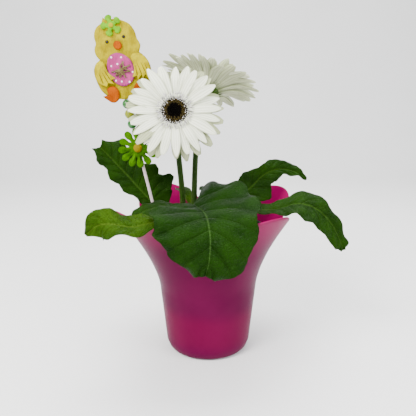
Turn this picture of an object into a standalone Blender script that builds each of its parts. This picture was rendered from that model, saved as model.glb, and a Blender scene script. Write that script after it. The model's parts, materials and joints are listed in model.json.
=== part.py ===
"""A potted gerbera: a lobed plastic cover pot, the nursery pot and soil inside it, a rosette of leaves,
two white blooms on green stems, and a felt chick on a stick with beads and a felt flower.

All sizes below are in millimetres; MM turns them into Blender's metres. +Z is up, the origin is the centre
of the cover pot's flat base, and -Y is the front."""

import math

import bmesh
import bpy
from mathutils import Matrix, Vector

MM = 0.001
GAP = 0.35

# Cover pot: a round foot that flares into four lobes.
POT_BASE_RADIUS = 41.5
POT_FOOT_ROUND = 8.0
POT_WALL = 2.0
POT_LOBES = 4
LOBE_TURN = math.radians(37.0)
LOBE_SHARPNESS = 0.6
RIM_VALLEY = (67.0, 125.0)
RIM_TIP = (98.0, 155.0)
POT_LOWER_SLOPE = 0.105
FLARE_START = 65.0
POT_SIDES = 36
POT_ROWS = 8

# Nursery pot and soil.
NURSERY_BOTTOM = 24.0
NURSERY_TOP = 128.0
NURSERY_BOTTOM_RADIUS = 40.3
NURSERY_TOP_RADIUS = 53.4
NURSERY_WALL = 1.3
NURSERY_LIP = 2.2
SOIL_EDGE_HEIGHT = 120.0
SOIL_MOUND_HEIGHT = 25.0
SOIL_MOUND_RADIUS = 21.0
CROWN = Vector((-14.0, 0.0, 0.0))

# Blooms.
PETAL_THICKNESS = 1.2
RECEPTACLE_RADIUS = 12.5
RECEPTACLE_DEPTH = 4.0

# Pick: the stick leans to the left and a little back.
STICK_RADIUS = 1.5
STICK_BOTTOM_HEIGHT = 66.0
STICK_AT_SOIL = Vector((-47.0, -6.0, 122.0))
STICK_LEAN = Vector((-0.236, 0.06, 1.0))
STICK_TOP_HEIGHT = 284.0
FELT = 2.4


def clear_scene():
    for old in list(bpy.data.objects):
        bpy.data.objects.remove(old)


def material(name, colour, roughness, metallic=0.0):
    made = bpy.data.materials.get(name) or bpy.data.materials.new(name)
    made.use_nodes = True
    shader = made.node_tree.nodes["Principled BSDF"]
    shader.inputs["Base Color"].default_value = (*colour, 1.0)
    shader.inputs["Roughness"].default_value = roughness
    shader.inputs["Metallic"].default_value = metallic
    return made


def finish_object(name, mesh, look, home):
    mesh.materials.clear()
    mesh.materials.append(look)
    made = bpy.data.objects.new(name, mesh)
    home.objects.link(made)
    return made


def smooth(mesh, degrees=40.0):
    mesh.shade_smooth()
    mesh.set_sharp_from_angle(angle=math.radians(degrees))


def mesh_from(points, faces, name="shape"):
    """A mesh from points in millimetres."""
    mesh = bpy.data.meshes.new(name)
    mesh.from_pydata([tuple(Vector(p) * MM) for p in points], [], faces)
    mesh.update()
    shape = bmesh.new()
    shape.from_mesh(mesh)
    bmesh.ops.recalc_face_normals(shape, faces=shape.faces)
    shape.to_mesh(mesh)
    shape.free()
    return mesh


def loft(rings, name="loft"):
    """A closed body through rings that all have the same number of points, with flat ends."""
    count = len(rings[0])
    points = [p for ring in rings for p in ring]
    faces = []
    for row in range(len(rings) - 1):
        low, high = row * count, (row + 1) * count
        for i in range(count):
            j = (i + 1) % count
            faces.append((low + i, low + j, high + j, high + i))
    faces.append(tuple(reversed(range(count))))
    faces.append(tuple(range(len(points) - count, len(points))))
    return mesh_from(points, faces, name)


def catmull(points, t):
    """A smooth curve through the points; t runs from 0 to 1 over all of them."""
    spans = len(points) - 1
    place = min(max(t, 0.0), 1.0) * spans
    k = min(int(place), spans - 1)
    u = place - k
    p1, p2 = Vector(points[k]), Vector(points[k + 1])
    p0 = Vector(points[k - 1]) if k else p1 * 2 - p2
    p3 = Vector(points[k + 2]) if k + 2 <= spans else p2 * 2 - p1
    return 0.5 * (2 * p1 + (p2 - p0) * u + (2 * p0 - 5 * p1 + 4 * p2 - p3) * u * u
                  + (3 * p1 - p0 - 3 * p2 + p3) * u ** 3)


def stem_curve(points, t):
    """A smooth curve that is straight over its first span, which stands in the soil."""
    first = 1 / (len(points) - 1)
    if t < first:
        return Vector(points[0]).lerp(Vector(points[1]), t / first)
    return catmull(points, t)


def along(values, t):
    """Numbers spaced evenly from 0 to 1, read with smooth steps between them."""
    return catmull([(v, 0.0, 0.0) for v in values], t).x


def lathe(profile, steps, name="turned"):
    """A turned solid from (radius, height) pairs in millimetres that start and end on the axis."""
    mesh = bpy.data.meshes.new(name)
    points = [(r * MM, 0.0, z * MM) for r, z in profile]
    mesh.from_pydata(points, [(i, i + 1) for i in range(len(points) - 1)], [])
    guide = bpy.data.objects.new(name + "_guide", mesh)
    bpy.context.scene.collection.objects.link(guide)
    screw = guide.modifiers.new("Screw", "SCREW")
    screw.steps = screw.render_steps = steps
    screw.use_merge_vertices = True
    screw.merge_threshold = 0.00001
    bpy.context.view_layer.update()
    turned = bpy.data.meshes.new_from_object(guide.evaluated_get(bpy.context.evaluated_depsgraph_get()))
    bpy.data.objects.remove(guide)
    shape = bmesh.new()
    shape.from_mesh(turned)
    bmesh.ops.remove_doubles(shape, verts=shape.verts, dist=0.00001)
    bmesh.ops.recalc_face_normals(shape, faces=shape.faces)
    shape.to_mesh(turned)
    shape.free()
    return turned


def boolean(mesh, others, operation, solver="EXACT"):
    """The mesh joined with or cut by the other meshes, with the helpers removed afterwards."""
    helpers = bpy.data.collections.new("cutters")
    bpy.context.scene.collection.children.link(helpers)
    base = bpy.data.objects.new("boolean_base", mesh)
    bpy.context.scene.collection.objects.link(base)
    for i, other in enumerate(others):
        helpers.objects.link(bpy.data.objects.new(f"helper_{i}", other))
    step = base.modifiers.new("Join", "BOOLEAN")
    step.operation = operation
    step.operand_type = "COLLECTION"
    step.collection = helpers
    step.solver = solver
    bpy.context.view_layer.update()
    made = bpy.data.meshes.new_from_object(base.evaluated_get(bpy.context.evaluated_depsgraph_get()))
    bpy.data.objects.remove(base)
    for helper in list(helpers.objects):
        bpy.data.objects.remove(helper)
    bpy.data.collections.remove(helpers)
    return made


def turned_about(direction):
    """The rotation that takes +Z to a direction."""
    return Vector(direction).to_track_quat("Z", "Y").to_matrix().to_4x4()


def placed(mesh, matrix):
    """The mesh moved by a matrix whose lengths are millimetres."""
    move = matrix.copy()
    move.translation = matrix.translation * MM
    mesh.transform(move)
    return mesh


def rod(start, end, radius, sides):
    """A straight round rod between two points in millimetres."""
    axis = Vector(end) - Vector(start)
    shape = bmesh.new()
    bmesh.ops.create_cone(shape, cap_ends=True, segments=sides, radius1=radius * MM, radius2=radius * MM,
                          depth=axis.length * MM)
    mesh = bpy.data.meshes.new("rod")
    shape.to_mesh(mesh)
    shape.free()
    matrix = turned_about(axis)
    matrix.translation = (Vector(start) + Vector(end)) / 2
    return placed(mesh, matrix)


# Cover pot

def lobe_weight(angle):
    return (0.5 + 0.5 * math.cos(POT_LOBES * (angle - LOBE_TURN))) ** LOBE_SHARPNESS


def pot_radius(angle, height):
    """The outside radius: a plain cone below, and above it a flare that is wider towards a lobe."""
    cone = POT_BASE_RADIUS + POT_LOWER_SLOPE * height
    rise = max(height - FLARE_START, 0.0)
    at_start = POT_BASE_RADIUS + POT_LOWER_SLOPE * FLARE_START
    lobe_run = RIM_TIP[1] - FLARE_START
    valley_run = RIM_VALLEY[1] - FLARE_START
    lobe = (RIM_TIP[0] - at_start) * (rise / lobe_run) ** 1.45
    valley = (RIM_VALLEY[0] - at_start) * (rise / valley_run) ** 1.5
    weight = lobe_weight(angle)
    if rise <= 0.0:
        return cone
    return at_start + weight * lobe + (1.0 - weight) * valley


def make_cover_pot(home):
    points = [(0.0, 0.0, 0.0)]
    faces = []
    flat = POT_BASE_RADIUS - POT_FOOT_ROUND
    rows = [("floor", flat * 0.5), ("floor", flat)]
    rows += [("foot", math.radians(a)) for a in (30.0, 60.0)]
    rows += [("wall", k / POT_ROWS) for k in range(POT_ROWS + 1)]
    for kind, value in rows:
        for i in range(POT_SIDES):
            angle = 2 * math.pi * i / POT_SIDES
            if kind == "floor":
                radius, height = value, 0.0
            elif kind == "foot":
                radius = flat + POT_FOOT_ROUND * math.sin(value)
                height = POT_FOOT_ROUND * (1 - math.cos(value))
            else:
                rim = RIM_VALLEY[1] + (RIM_TIP[1] - RIM_VALLEY[1]) * lobe_weight(angle)
                height = POT_FOOT_ROUND + (rim - POT_FOOT_ROUND) * value
                radius = pot_radius(angle, height)
            points.append((radius * math.cos(angle), radius * math.sin(angle), height))
    for i in range(POT_SIDES):
        faces.append((0, 1 + (i + 1) % POT_SIDES, 1 + i))
    for row in range(len(rows) - 1):
        for i in range(POT_SIDES):
            low, high = 1 + row * POT_SIDES, 1 + (row + 1) * POT_SIDES
            j = (i + 1) % POT_SIDES
            faces.append((low + i, low + j, high + j, high + i))
    mesh = bpy.data.meshes.new("cover_pot")
    mesh.from_pydata([tuple(Vector(p) * MM) for p in points], [], faces)
    smooth(mesh)
    pot = finish_object("cover_pot", mesh, material("magenta_plastic", (0.42, 0.03, 0.20), 0.35), home)
    wall = pot.modifiers.new("Wall", "SOLIDIFY")
    wall.thickness = POT_WALL * MM
    wall.offset = -1.0
    wall.use_even_offset = True
    return pot


def nursery_radius(height):
    share = (height - NURSERY_BOTTOM) / (NURSERY_TOP - NURSERY_BOTTOM)
    return NURSERY_BOTTOM_RADIUS + (NURSERY_TOP_RADIUS - NURSERY_BOTTOM_RADIUS) * share


def make_nursery_pot(home):
    lip = NURSERY_TOP - 6.0
    floor = NURSERY_BOTTOM + NURSERY_WALL
    profile = [
        (0.0, floor),
        (nursery_radius(floor) - NURSERY_WALL, floor),
        (NURSERY_TOP_RADIUS - NURSERY_WALL, NURSERY_TOP),
        (NURSERY_TOP_RADIUS + NURSERY_LIP, NURSERY_TOP),
        (NURSERY_TOP_RADIUS + NURSERY_LIP, lip),
        (nursery_radius(lip), lip),
        (NURSERY_BOTTOM_RADIUS, NURSERY_BOTTOM),
        (0.0, NURSERY_BOTTOM),
    ]
    mesh = lathe(profile, 40, "nursery_pot")
    smooth(mesh)
    return finish_object("nursery_pot", mesh, material("dark_plastic", (0.03, 0.02, 0.02), 0.5), home)


def make_soil(home, feet):
    floor = NURSERY_BOTTOM + NURSERY_WALL + GAP
    inner = NURSERY_WALL + GAP
    edge = nursery_radius(SOIL_EDGE_HEIGHT) - inner
    profile = [(edge * k / 7, SOIL_EDGE_HEIGHT) for k in range(8)]
    profile += [(nursery_radius(floor) - inner, floor), (0.0, floor)]
    mesh = lathe(profile, 32, "soil")
    for point in mesh.vertices:
        place = point.co / MM
        if place.z > SOIL_EDGE_HEIGHT - 1:
            away = (Vector((place.x, place.y, 0)) - CROWN).length / SOIL_MOUND_RADIUS
            fade = 1 - (math.hypot(place.x, place.y) / edge) ** 6
            point.co.z += SOIL_MOUND_HEIGHT * math.exp(-away * away) * max(fade, 0.0) * MM
    holes = [rod(start, end, radius + GAP, 12) for start, end, radius in feet]
    mesh = boolean(mesh, holes, "DIFFERENCE")
    smooth(mesh)
    return finish_object("soil", mesh, material("potting_soil", (0.05, 0.025, 0.012), 0.95), home)


# Leaves

class Leaf:
    """A leaf with its stalk. The spine runs from the foot in the soil to the tip and the blade starts at
    blade_start along it. left and right are half-widths at even steps of the blade, seen from the foot;
    roll turns the blade about its spine, fold lifts each half, and sweep draws the edges back towards the
    foot."""

    def __init__(self, name, spine, blade_start, left, right, roll=(0, 0), fold_left=(10, 4), fold_right=(10, 4),
                 sweep=(6, 0, 0), teeth=5, tooth=0.08, stalk=2.3):
        self.name = name
        self.spine = [Vector(p) for p in spine]
        self.blade_start = blade_start
        self.left = left
        self.right = right
        self.roll = roll
        self.fold_left = fold_left
        self.fold_right = fold_right
        self.sweep = sweep
        self.teeth = teeth
        self.tooth = tooth
        self.stalk = stalk

    def frame(self, t):
        """The point on the spine, the way along it, the way to the right and the way up from the blade."""
        step = 0.01
        centre = stem_curve(self.spine, t)
        after, before = min(t + step, 1.0), max(t - step, 0.0)
        ahead = (stem_curve(self.spine, after) - stem_curve(self.spine, before)).normalized()
        heading = self.spine[-1] - self.spine[1]
        level = Vector((heading.x, heading.y, 0)).cross(Vector((0, 0, 1))).normalized()
        side = (level - ahead * level.dot(ahead)).normalized()
        return centre, ahead, side, side.cross(ahead)

    def stalk_ring(self, t, columns):
        centre, ahead, side, up = self.frame(t)
        upper, lower = [], []
        for k in range(columns):
            angle = math.radians(164 - 148 * k / (columns - 1))
            across = side * math.cos(angle) * self.stalk
            lift = up * math.sin(angle) * self.stalk
            upper.append(centre + across + lift)
            lower.append(centre + across - lift)
        return upper + lower[::-1]

    def blade_ring(self, t, columns):
        """One closed ring of the blade: the upper face from left to right, then the lower face back."""
        centre, ahead, side, up = self.frame(t)
        s = (t - self.blade_start) / (1 - self.blade_start)
        roll = math.radians(along(self.roll, s))
        right = side * math.cos(roll) + up * math.sin(roll)
        above = up * math.cos(roll) - side * math.sin(roll)
        wave = 1 + self.tooth * math.sin(2 * math.pi * self.teeth * s)
        upper, lower = [], []
        for k in range(columns):
            q = 2 * k / (columns - 1) - 1
            width = max(along(self.right if q > 0 else self.left, s), 0.8) * (wave if abs(q) == 1 else 1)
            fold = math.radians(along(self.fold_right if q > 0 else self.fold_left, s))
            out = abs(q) * width
            rib = 1.4 * max(0.0, 1 - out / 5.0) * (1 - s)
            place = centre + right * math.copysign(out * math.cos(fold), q) + above * out * math.sin(fold)
            place -= ahead * along(self.sweep, s) * q * q
            upper.append(place + above * 0.45)
            lower.append(place - above * (0.45 + rib))
        return upper + lower[::-1]

    def foot(self):
        """Start, end and radius of the straight lower stalk, for its hole in the soil."""
        way = (self.spine[1] - self.spine[0]).normalized()
        return self.spine[0] - way * GAP, self.spine[1] + way * 10.0, self.stalk * 1.18

    def make(self, home, look, stalk_rings=5, blade_rings=13, columns=5):
        rings = [self.stalk_ring(self.blade_start * k / stalk_rings, columns) for k in range(stalk_rings)]
        rings += [self.blade_ring(self.blade_start + (1 - self.blade_start) * k / blade_rings, columns)
                  for k in range(blade_rings + 1)]
        mesh = loft(rings, self.name)
        smooth(mesh, 60.0)
        return finish_object(self.name, mesh, look, home)


LEAVES = [
    Leaf("leaf_front", [(-9, -14, 112), (-10.5, -15, 136), (-15, -17, 152), (-9, -34, 155), (-3, -55, 155),
                        (0, -77, 153), (2, -92, 142), (1, -99, 126), (-2, -101, 113)], 0.26,
         left=(7, 34, 44, 46, 46, 42, 36, 29, 18, 3), right=(3, 8, 22, 36, 44, 46, 43, 34, 20, 3),
         fold_left=(28, 26, 18, 12, 8, 4, 0), fold_right=(0, 3, 8, 10, 8, 2, 0), sweep=(16, 10, 4, 0, -2, -3),
         teeth=5, tooth=0.05, stalk=2.6),
    Leaf("leaf_front_left", [(-20, -12, 112), (-22, -13, 136), (-29, -20, 154), (-38, -33, 161.5),
                             (-48, -46, 162), (-58, -56, 160), (-65, -63, 154)], 0.34,
         left=(3, 5, 7, 8, 7, 2), right=(3, 8, 11, 11, 8, 2), fold_left=(10, 0), fold_right=(24, 12),
         teeth=3, tooth=0.05),
    Leaf("leaf_left", [(-29, -7, 112), (-31, -12, 134), (-35, -32, 145), (-41, -56, 150), (-48, -76, 152.5),
                       (-63, -85, 151), (-80, -87, 154), (-92, -86, 152), (-102, -86, 144)], 0.42,
         left=(3, 5, 8, 12, 14, 14, 9, 2), right=(3, 5, 8, 11, 13, 14, 9, 2), roll=(0, 10, 35, 50, 55),
         fold_left=(0, 0), fold_right=(0, 0), teeth=4, tooth=0.05),
    Leaf("leaf_back_left", [(-28, 12, 112), (-31, 14, 134), (-43, 15, 143), (-56, 15, 148), (-68, 18, 159),
                            (-81, 22, 173), (-96, 27, 188), (-110, 31, 202)], 0.40,
         left=(3, 7, 8, 11, 14, 12, 11, 7), right=(3, 26, 30, 26, 22, 22, 18, 6),
         roll=(62, 66, 66, 64, 60), fold_left=(4, 0), fold_right=(8, 4), sweep=(14, 6, 0, -4), teeth=5,
         tooth=0.12),
    Leaf("leaf_right_back", [(1, 5, 112), (4, 7, 136), (16, 13, 147), (30, 20, 152), (44, 27, 161),
                             (58, 33, 173), (74, 38, 178), (90, 41, 175), (104, 43, 167)], 0.34,
         left=(3, 15, 14, 10, 10, 9, 6, 2), right=(3, 14, 20, 20, 12, 8, 6, 2), roll=(-50, -60, -60, -50, -45),
         fold_left=(12, 8), fold_right=(8, 4), teeth=4, tooth=0.14),
    Leaf("leaf_right_front", [(3, -6, 112), (7, -8, 138), (22, -12, 147), (44, -16, 148), (66, -20, 150),
                              (84, -24, 156), (101, -27, 152), (116, -29, 138), (126, -30, 119),
                              (128, -30, 112)], 0.36,
         left=(3, 8, 12, 17, 14, 10, 8, 6, 3), right=(3, 10, 16, 22, 20, 16, 12, 8, 3),
         roll=(-12, -16, -28, -42, -52, -58), fold_left=(8, 2), fold_right=(8, 2), teeth=5, tooth=0.06),
    Leaf("leaf_back", [(-4, 14, 112), (-3, 18, 136), (2, 32, 147), (7, 50, 151), (11, 68, 149), (14, 84, 138),
                       (15, 94, 122)], 0.34,
         left=(3, 14, 17, 16, 12, 2), right=(3, 14, 17, 16, 12, 2), teeth=4, tooth=0.10),
    Leaf("leaf_young", [(-15, 15, 112), (-16, 18, 136), (-20, 25, 149), (-26, 34, 155), (-32, 44, 156)], 0.42,
         left=(2, 5, 8, 7, 2), right=(2, 5, 8, 7, 2), fold_left=(25, 15), fold_right=(25, 15), teeth=2,
         tooth=0.05, stalk=1.9),
]


# Blooms

class Bloom:
    """A gerbera head on its stem. centre is the middle of the disc's face and facing the way it looks. Each
    layer of rays has a count, a share of the radius, a width, a rise, a sag, a depth and an angle offset."""

    def __init__(self, name, centre, facing, radius, stem, layers):
        self.name = name
        self.centre = Vector(centre)
        self.facing = Vector(facing).normalized()
        self.radius = radius
        self.stem = [Vector(p) for p in stem]
        self.layers = layers

    def matrix(self):
        matrix = turned_about(self.facing)
        matrix.translation = self.centre
        return matrix

    def petal(self, angle, length, width, rise, sag, depth):
        """One ray in the bloom's own frame: a thin arched blade from the receptacle to its tip."""
        rings = []
        root = RECEPTACLE_RADIUS - 4.0
        for share, half in ((0.0, 0.40), (0.45, 0.95), (0.85, 0.82), (1.0, 0.20)):
            reach = root + (length - root) * share
            height = depth + rise * share - sag * share * share
            half_width = width / 2 * half
            out = Vector((math.cos(angle), math.sin(angle), 0))
            across = Vector((-out.y, out.x, 0))
            middle = out * reach + Vector((0, 0, height))
            droop = Vector((0, 0, half_width * 0.16))
            thick = Vector((0, 0, PETAL_THICKNESS / 2))
            rings.append([middle - across * half_width - droop, middle - thick, middle + across * half_width - droop,
                          middle + thick])
        return loft(rings, "petal")

    def make_rays(self, home):
        """All white rays, joined with the receptacle that they grow from."""
        petals = []
        for count, share, width, rise, sag, depth, offset in self.layers:
            for k in range(count):
                angle = 2 * math.pi * (k + offset) / count
                vary = math.sin(k * 2.4 + offset * 5.0)
                length = self.radius * share * (1 + 0.035 * vary)
                petals.append(self.petal(angle + 0.035 * vary, length, width, rise + vary, sag, depth))
        hub = lathe([(0, -0.3), (RECEPTACLE_RADIUS, -0.3), (RECEPTACLE_RADIUS - 1, -RECEPTACLE_DEPTH),
                     (0, -RECEPTACLE_DEPTH)], 20, "hub")
        mesh = boolean(hub, petals, "UNION")
        placed(mesh, self.matrix())
        smooth(mesh, 50.0)
        return finish_object(self.name + "_rays", mesh, material("white_ray", (0.85, 0.86, 0.80), 0.6), home)

    def make_disc(self, home):
        """The ring of small florets around the eye: a low ring with spikes standing out of it."""
        hub = lathe([(5.4, GAP), (5.4, 1.6), (8.0, 3.0), (11.6, 1.2), (11.9, GAP), (5.4, GAP)], 20, "ring")
        spikes = []
        for k in range(22):
            angle = 2 * math.pi * k / 22
            out = Vector((math.cos(angle), math.sin(angle), 0))
            across = Vector((-out.y, out.x, 0))
            foot = out * 9.4 + Vector((0, 0, 1.0))
            tip = out * 11.4 + Vector((0, 0, 4.4))
            rings = [[at - across * w, at + across * w, at + out * w * 1.6] for at, w in ((foot, 0.85), (tip, 0.35))]
            spikes.append(loft(rings, "spike"))
        mesh = boolean(hub, spikes, "UNION")
        placed(mesh, self.matrix())
        return finish_object(self.name + "_florets", mesh, material("floret", (0.45, 0.42, 0.34), 0.7), home)

    def make_eye(self, home):
        """The dark middle: a low dome with the unopened florets as relief."""
        mesh = lathe([(0, 2.4), (1.4, 3.0), (2.8, 3.3), (4.2, 3.0), (5.0, 1.8), (5.0, GAP), (0, GAP)], 16, "eye")
        placed(mesh, self.matrix())
        smooth(mesh, 50.0)
        return finish_object(self.name + "_eye", mesh, material("dark_eye", (0.015, 0.008, 0.01), 0.8), home)

    def neck(self):
        """Where the stem meets the head, behind the receptacle."""
        return self.centre - self.facing * (RECEPTACLE_DEPTH + 9.0)

    def make_stem(self, home, look):
        """The stem with the green cup of bracts that holds the head."""
        points = self.stem + [self.neck() - self.facing * 6.0, self.neck()]
        count = 14
        rings = []
        for k in range(count + 1):
            t = k / count
            middle = stem_curve(points, t)
            after, before = min(t + 0.01, 1.0), max(t - 0.01, 0.0)
            ahead = (stem_curve(points, after) - stem_curve(points, before)).normalized()
            side = ahead.cross(Vector((0, 1, 0))).normalized()
            up = side.cross(ahead)
            radius = 2.7 - 0.35 * t
            rings.append([middle + side * radius * math.cos(a) + up * radius * math.sin(a)
                          for a in (2 * math.pi * i / 8 for i in range(8))])
        stem = loft(rings, "stem")
        back = -(RECEPTACLE_DEPTH + GAP)
        cup = lathe([(0, back), (11.0, back), (10.6, back - 2.0), (7.5, back - 6.5), (3.6, back - 9.5),
                     (0, back - 11.0)], 20, "cup")
        placed(cup, self.matrix())
        bracts = []
        for k in range(10):
            angle = 2 * math.pi * k / 10
            out = Vector((math.cos(angle), math.sin(angle), 0))
            across = Vector((-out.y, out.x, 0))
            rings = []
            for reach, height, half in ((6.5, back - 6.8, 1.5), (10.0, back - 2.6, 1.6), (13.0, back - 1.4, 0.4)):
                middle = out * reach + Vector((0, 0, height))
                lift = Vector((0, 0, 0.5))
                rings.append([middle - across * half, middle - lift - out * 0.4, middle + across * half,
                              middle + lift + out * 0.4])
            bracts.append(placed(loft(rings, "bract"), self.matrix()))
        mesh = boolean(cup, [stem] + bracts, "UNION")
        smooth(mesh, 50.0)
        return finish_object(self.name + "_stem", mesh, look, home)

    def foot(self):
        start, end = self.stem[0], self.stem[1]
        way = (end - start).normalized()
        return start - way * GAP, end + way * 10.0, 2.85

    def make(self, home, green):
        self.make_rays(home)
        self.make_disc(home)
        self.make_eye(home)
        self.make_stem(home, green)


BLOOMS = [
    Bloom("front_bloom", (-30, -24, 241), (0.03, -0.94, 0.33), 44.0,
          [(-24, 3, 112), (-24.5, 3, 140), (-25.5, 1, 165), (-28, -2, 195), (-29.5, -6, 220)],
          [(25, 0.97, 7.4, 6.0, 5.0, -1.6, 0.0), (17, 1.02, 8.8, 2.0, 5.0, -3.2, 0.5)]),
    Bloom("back_bloom", (1, 32, 264), (0.26, 0.47, 0.85), 49.0,
          [(-13, 4, 112), (-13.5, 5, 140), (-13.5, 8, 165), (-12, 12, 200), (-9, 18, 230)],
          [(23, 0.94, 8.4, 12.0, 4.0, -1.6, 0.0), (19, 1.0, 9.2, 6.0, 4.0, -3.2, 0.5)]),
]


# Pick

def stick_at(height):
    return STICK_AT_SOIL + STICK_LEAN * (height - STICK_AT_SOIL.z)


PICK_UP = STICK_LEAN.normalized()
PICK_RIGHT = Vector((1, 0, 0)) - PICK_UP * PICK_UP.x
PICK_RIGHT.normalize()


def pick_matrix(height, forward):
    """The pick's own frame: X to the right, Y up the stick, Z forward out of the felt."""
    front = PICK_RIGHT.cross(PICK_UP)
    matrix = Matrix((PICK_RIGHT, PICK_UP, front)).transposed().to_4x4()
    matrix.translation = stick_at(height) + front * forward
    return matrix


def flat_piece(name, outline, thickness, height, forward, look, home):
    """A felt piece cut to an outline of (right, up) points, standing forward of the stick."""
    curve = bpy.data.curves.new(name, "CURVE")
    curve.dimensions = "2D"
    curve.fill_mode = "BOTH"
    curve.resolution_u = 2
    curve.extrude = thickness / 2 * MM
    spline = curve.splines.new("BEZIER")
    spline.bezier_points.add(len(outline) - 1)
    spline.use_cyclic_u = True
    for point, place in zip(spline.bezier_points, outline):
        point.co = (place[0] * MM, place[1] * MM, 0.0)
        kind = "VECTOR" if len(place) > 2 else "AUTO"
        point.handle_left_type = point.handle_right_type = kind
    made = bpy.data.objects.new(name, curve)
    curve.materials.append(look)
    home.objects.link(made)
    matrix = pick_matrix(height, forward + thickness / 2)
    matrix.translation = matrix.translation * MM
    made.matrix_world = matrix
    return made


def rosette(petals, root, reach, half, turn=0.0, centre=(0.0, 0.0)):
    """The outline of a flower cut from felt, as points for flat_piece."""
    outline = []
    for k in range(petals):
        middle = 2 * math.pi * k / petals + math.radians(turn)
        valley = middle - math.pi / petals
        outline.append((root * math.cos(valley), root * math.sin(valley), "corner"))
        for side, share, spread in ((-1, 0.62, 0.72), (-1, 0.93, 1.0), (0, 1.0, 0.0), (1, 0.93, 1.0),
                                    (1, 0.62, 0.72)):
            angle = middle + side * half * spread
            outline.append((reach * share * math.cos(angle), reach * share * math.sin(angle)))
    return [(x + centre[0], y + centre[1], *rest) for x, y, *rest in outline]


CHICK_HEIGHT = 288.0
CORNER = "corner"
CHICK_BODY = [(-3.5, 32.5, CORNER), (-1.5, 37, CORNER), (1, 33.5, CORNER), (8.5, 33.5), (15, 30.5), (20.5, 26),
              (23.5, 19), (24, 12.5), (25.5, 6.5), (23, 0.5, CORNER), (28, -6.5), (30, -15), (28.5, -22),
              (20, -35.5), (10, -38), (-9, -35), (-17, -29), (-21, -19), (-21, -9.5), (-17.5, -1.5),
              (-13.5, 1.5, CORNER), (-16, 7.5), (-15.5, 12.5), (-13.5, 16), (-13, 23.5), (-9.5, 29.5)]
CHICK_WING_RIGHT = [(16.5, -1.5), (23, -1.5), (28.5, -8), (29.5, -15.5), (27.5, -21.5), (26, -24.5, CORNER),
                    (25, -20.5, CORNER), (21.5, -24, CORNER), (21, -20, CORNER), (16.5, -24.5, CORNER),
                    (17, -20, CORNER), (12.5, -20.5, CORNER), (15.5, -15), (16, -8)]
CHICK_WING_LEFT = [(-11.5, -1), (-10, -6.5), (-8.5, -12), (-3.5, -18, CORNER), (-8, -18.5, CORNER),
                   (-6, -22.5, CORNER), (-11, -20.5, CORNER), (-13, -23.5, CORNER), (-19.5, -18), (-21, -11),
                   (-19, -4), (-15, -0.5)]
CHICK_EGG = [(0, 3.5), (5, 3), (11.5, -2), (15, -9), (15, -15.5), (12.5, -21.5), (7.5, -25.5), (2, -26),
             (-3, -23), (-7, -16.5), (-8.5, -10), (-7.5, -3.5), (-4.5, 1.5)]
CHICK_FOOT_LEFT = [(-13.5, -26), (-8.5, -24.5), (-4.5, -28), (-4, -33), (-6.5, -37.5), (-11, -38.5),
                   (-15, -35.5), (-18.5, -31.5, CORNER), (-14, -31)]
CHICK_FOOT_RIGHT = [(12.5, -28), (16, -26.5), (20, -29.5), (22, -36), (18.5, -40), (13.5, -38.5), (11, -34)]
CHICK_BEAK = [(2.5, 11), (4, 13.5), (7, 13.5), (9, 11.5), (8.5, 7.5), (6, 6.5), (3, 8.5)]
CHICK_EYES = {"chick_eye_left": (-3.0, 15.5), "chick_eye_right": (13.0, 16.5)}
HEAD_FLOWER_CENTRE = (4.5, 28.5)
BOW_CENTRE = (3.5, -12.0)
BOW_LOOPS = [(62, 7.0), (15, 8.4), (-20, 7.6), (-70, 7.2), (-112, 6.0), (180, 8.0), (215, 6.2)]
BEADS = {"bead_lower": (228.0, 4.4, (0.10, 0.32, 0.12)), "bead_middle": (237.3, 4.6, (0.62, 0.55, 0.05)),
         "bead_upper": (246.6, 4.4, (0.10, 0.32, 0.12))}
STICK_FLOWER_HEIGHT = 205.5


def make_bead(name, height, radius):
    """A ball with a hole along the stick."""
    hole = STICK_RADIUS + GAP
    steps = 5
    tilt = math.acos(hole / radius)
    ball = [(radius * math.cos(a), radius * math.sin(a)) for a in
            (tilt * (1 - 2 * k / steps) for k in range(steps + 1))]
    bead = lathe([ball[-1]] + ball, 14, name)
    matrix = turned_about(PICK_UP)
    matrix.translation = stick_at(height)
    smooth(placed(bead, matrix), 50.0)
    return bead


def knob(name, radius, rise, height, forward, at, look, home, steps=12):
    """A low dome on the felt: an eye, a button or the middle of a flower."""
    dome = lathe([(0, rise), (radius * 0.6, rise * 0.85), (radius * 0.95, rise * 0.35), (radius, 0), (0, 0)],
                 steps, name)
    place = pick_matrix(height, forward)
    place.translation = place.translation + PICK_RIGHT * at[0] + PICK_UP * at[1]
    smooth(placed(dome, place), 60.0)
    return finish_object(name, dome, look, home)


def make_bow(forward, look, home):
    loops = []
    for angle, length in BOW_LOOPS:
        out = Vector((math.cos(math.radians(angle)), math.sin(math.radians(angle)), 0))
        across = Vector((-out.y, out.x, 0))
        lift = Vector((0, 0, 0.7))
        rings = []
        for share, half in ((0.0, 0.8), (0.55, 1.6), (1.0, 1.0)):
            middle = out * length * share + Vector((0, 0, 0.9))
            rings.append([middle - across * half, middle - lift, middle + across * half, middle + lift])
        loops.append(loft(rings, "loop"))
    knot = lathe([(0, 1.9), (1.3, 1.7), (1.7, 0.1), (0, 0.1)], 12, "knot")
    bow = boolean(knot, loops, "UNION")
    place = pick_matrix(CHICK_HEIGHT, forward)
    place.translation = place.translation + PICK_RIGHT * BOW_CENTRE[0] + PICK_UP * BOW_CENTRE[1]
    return finish_object("egg_bow", placed(bow, place), look, home)


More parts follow.
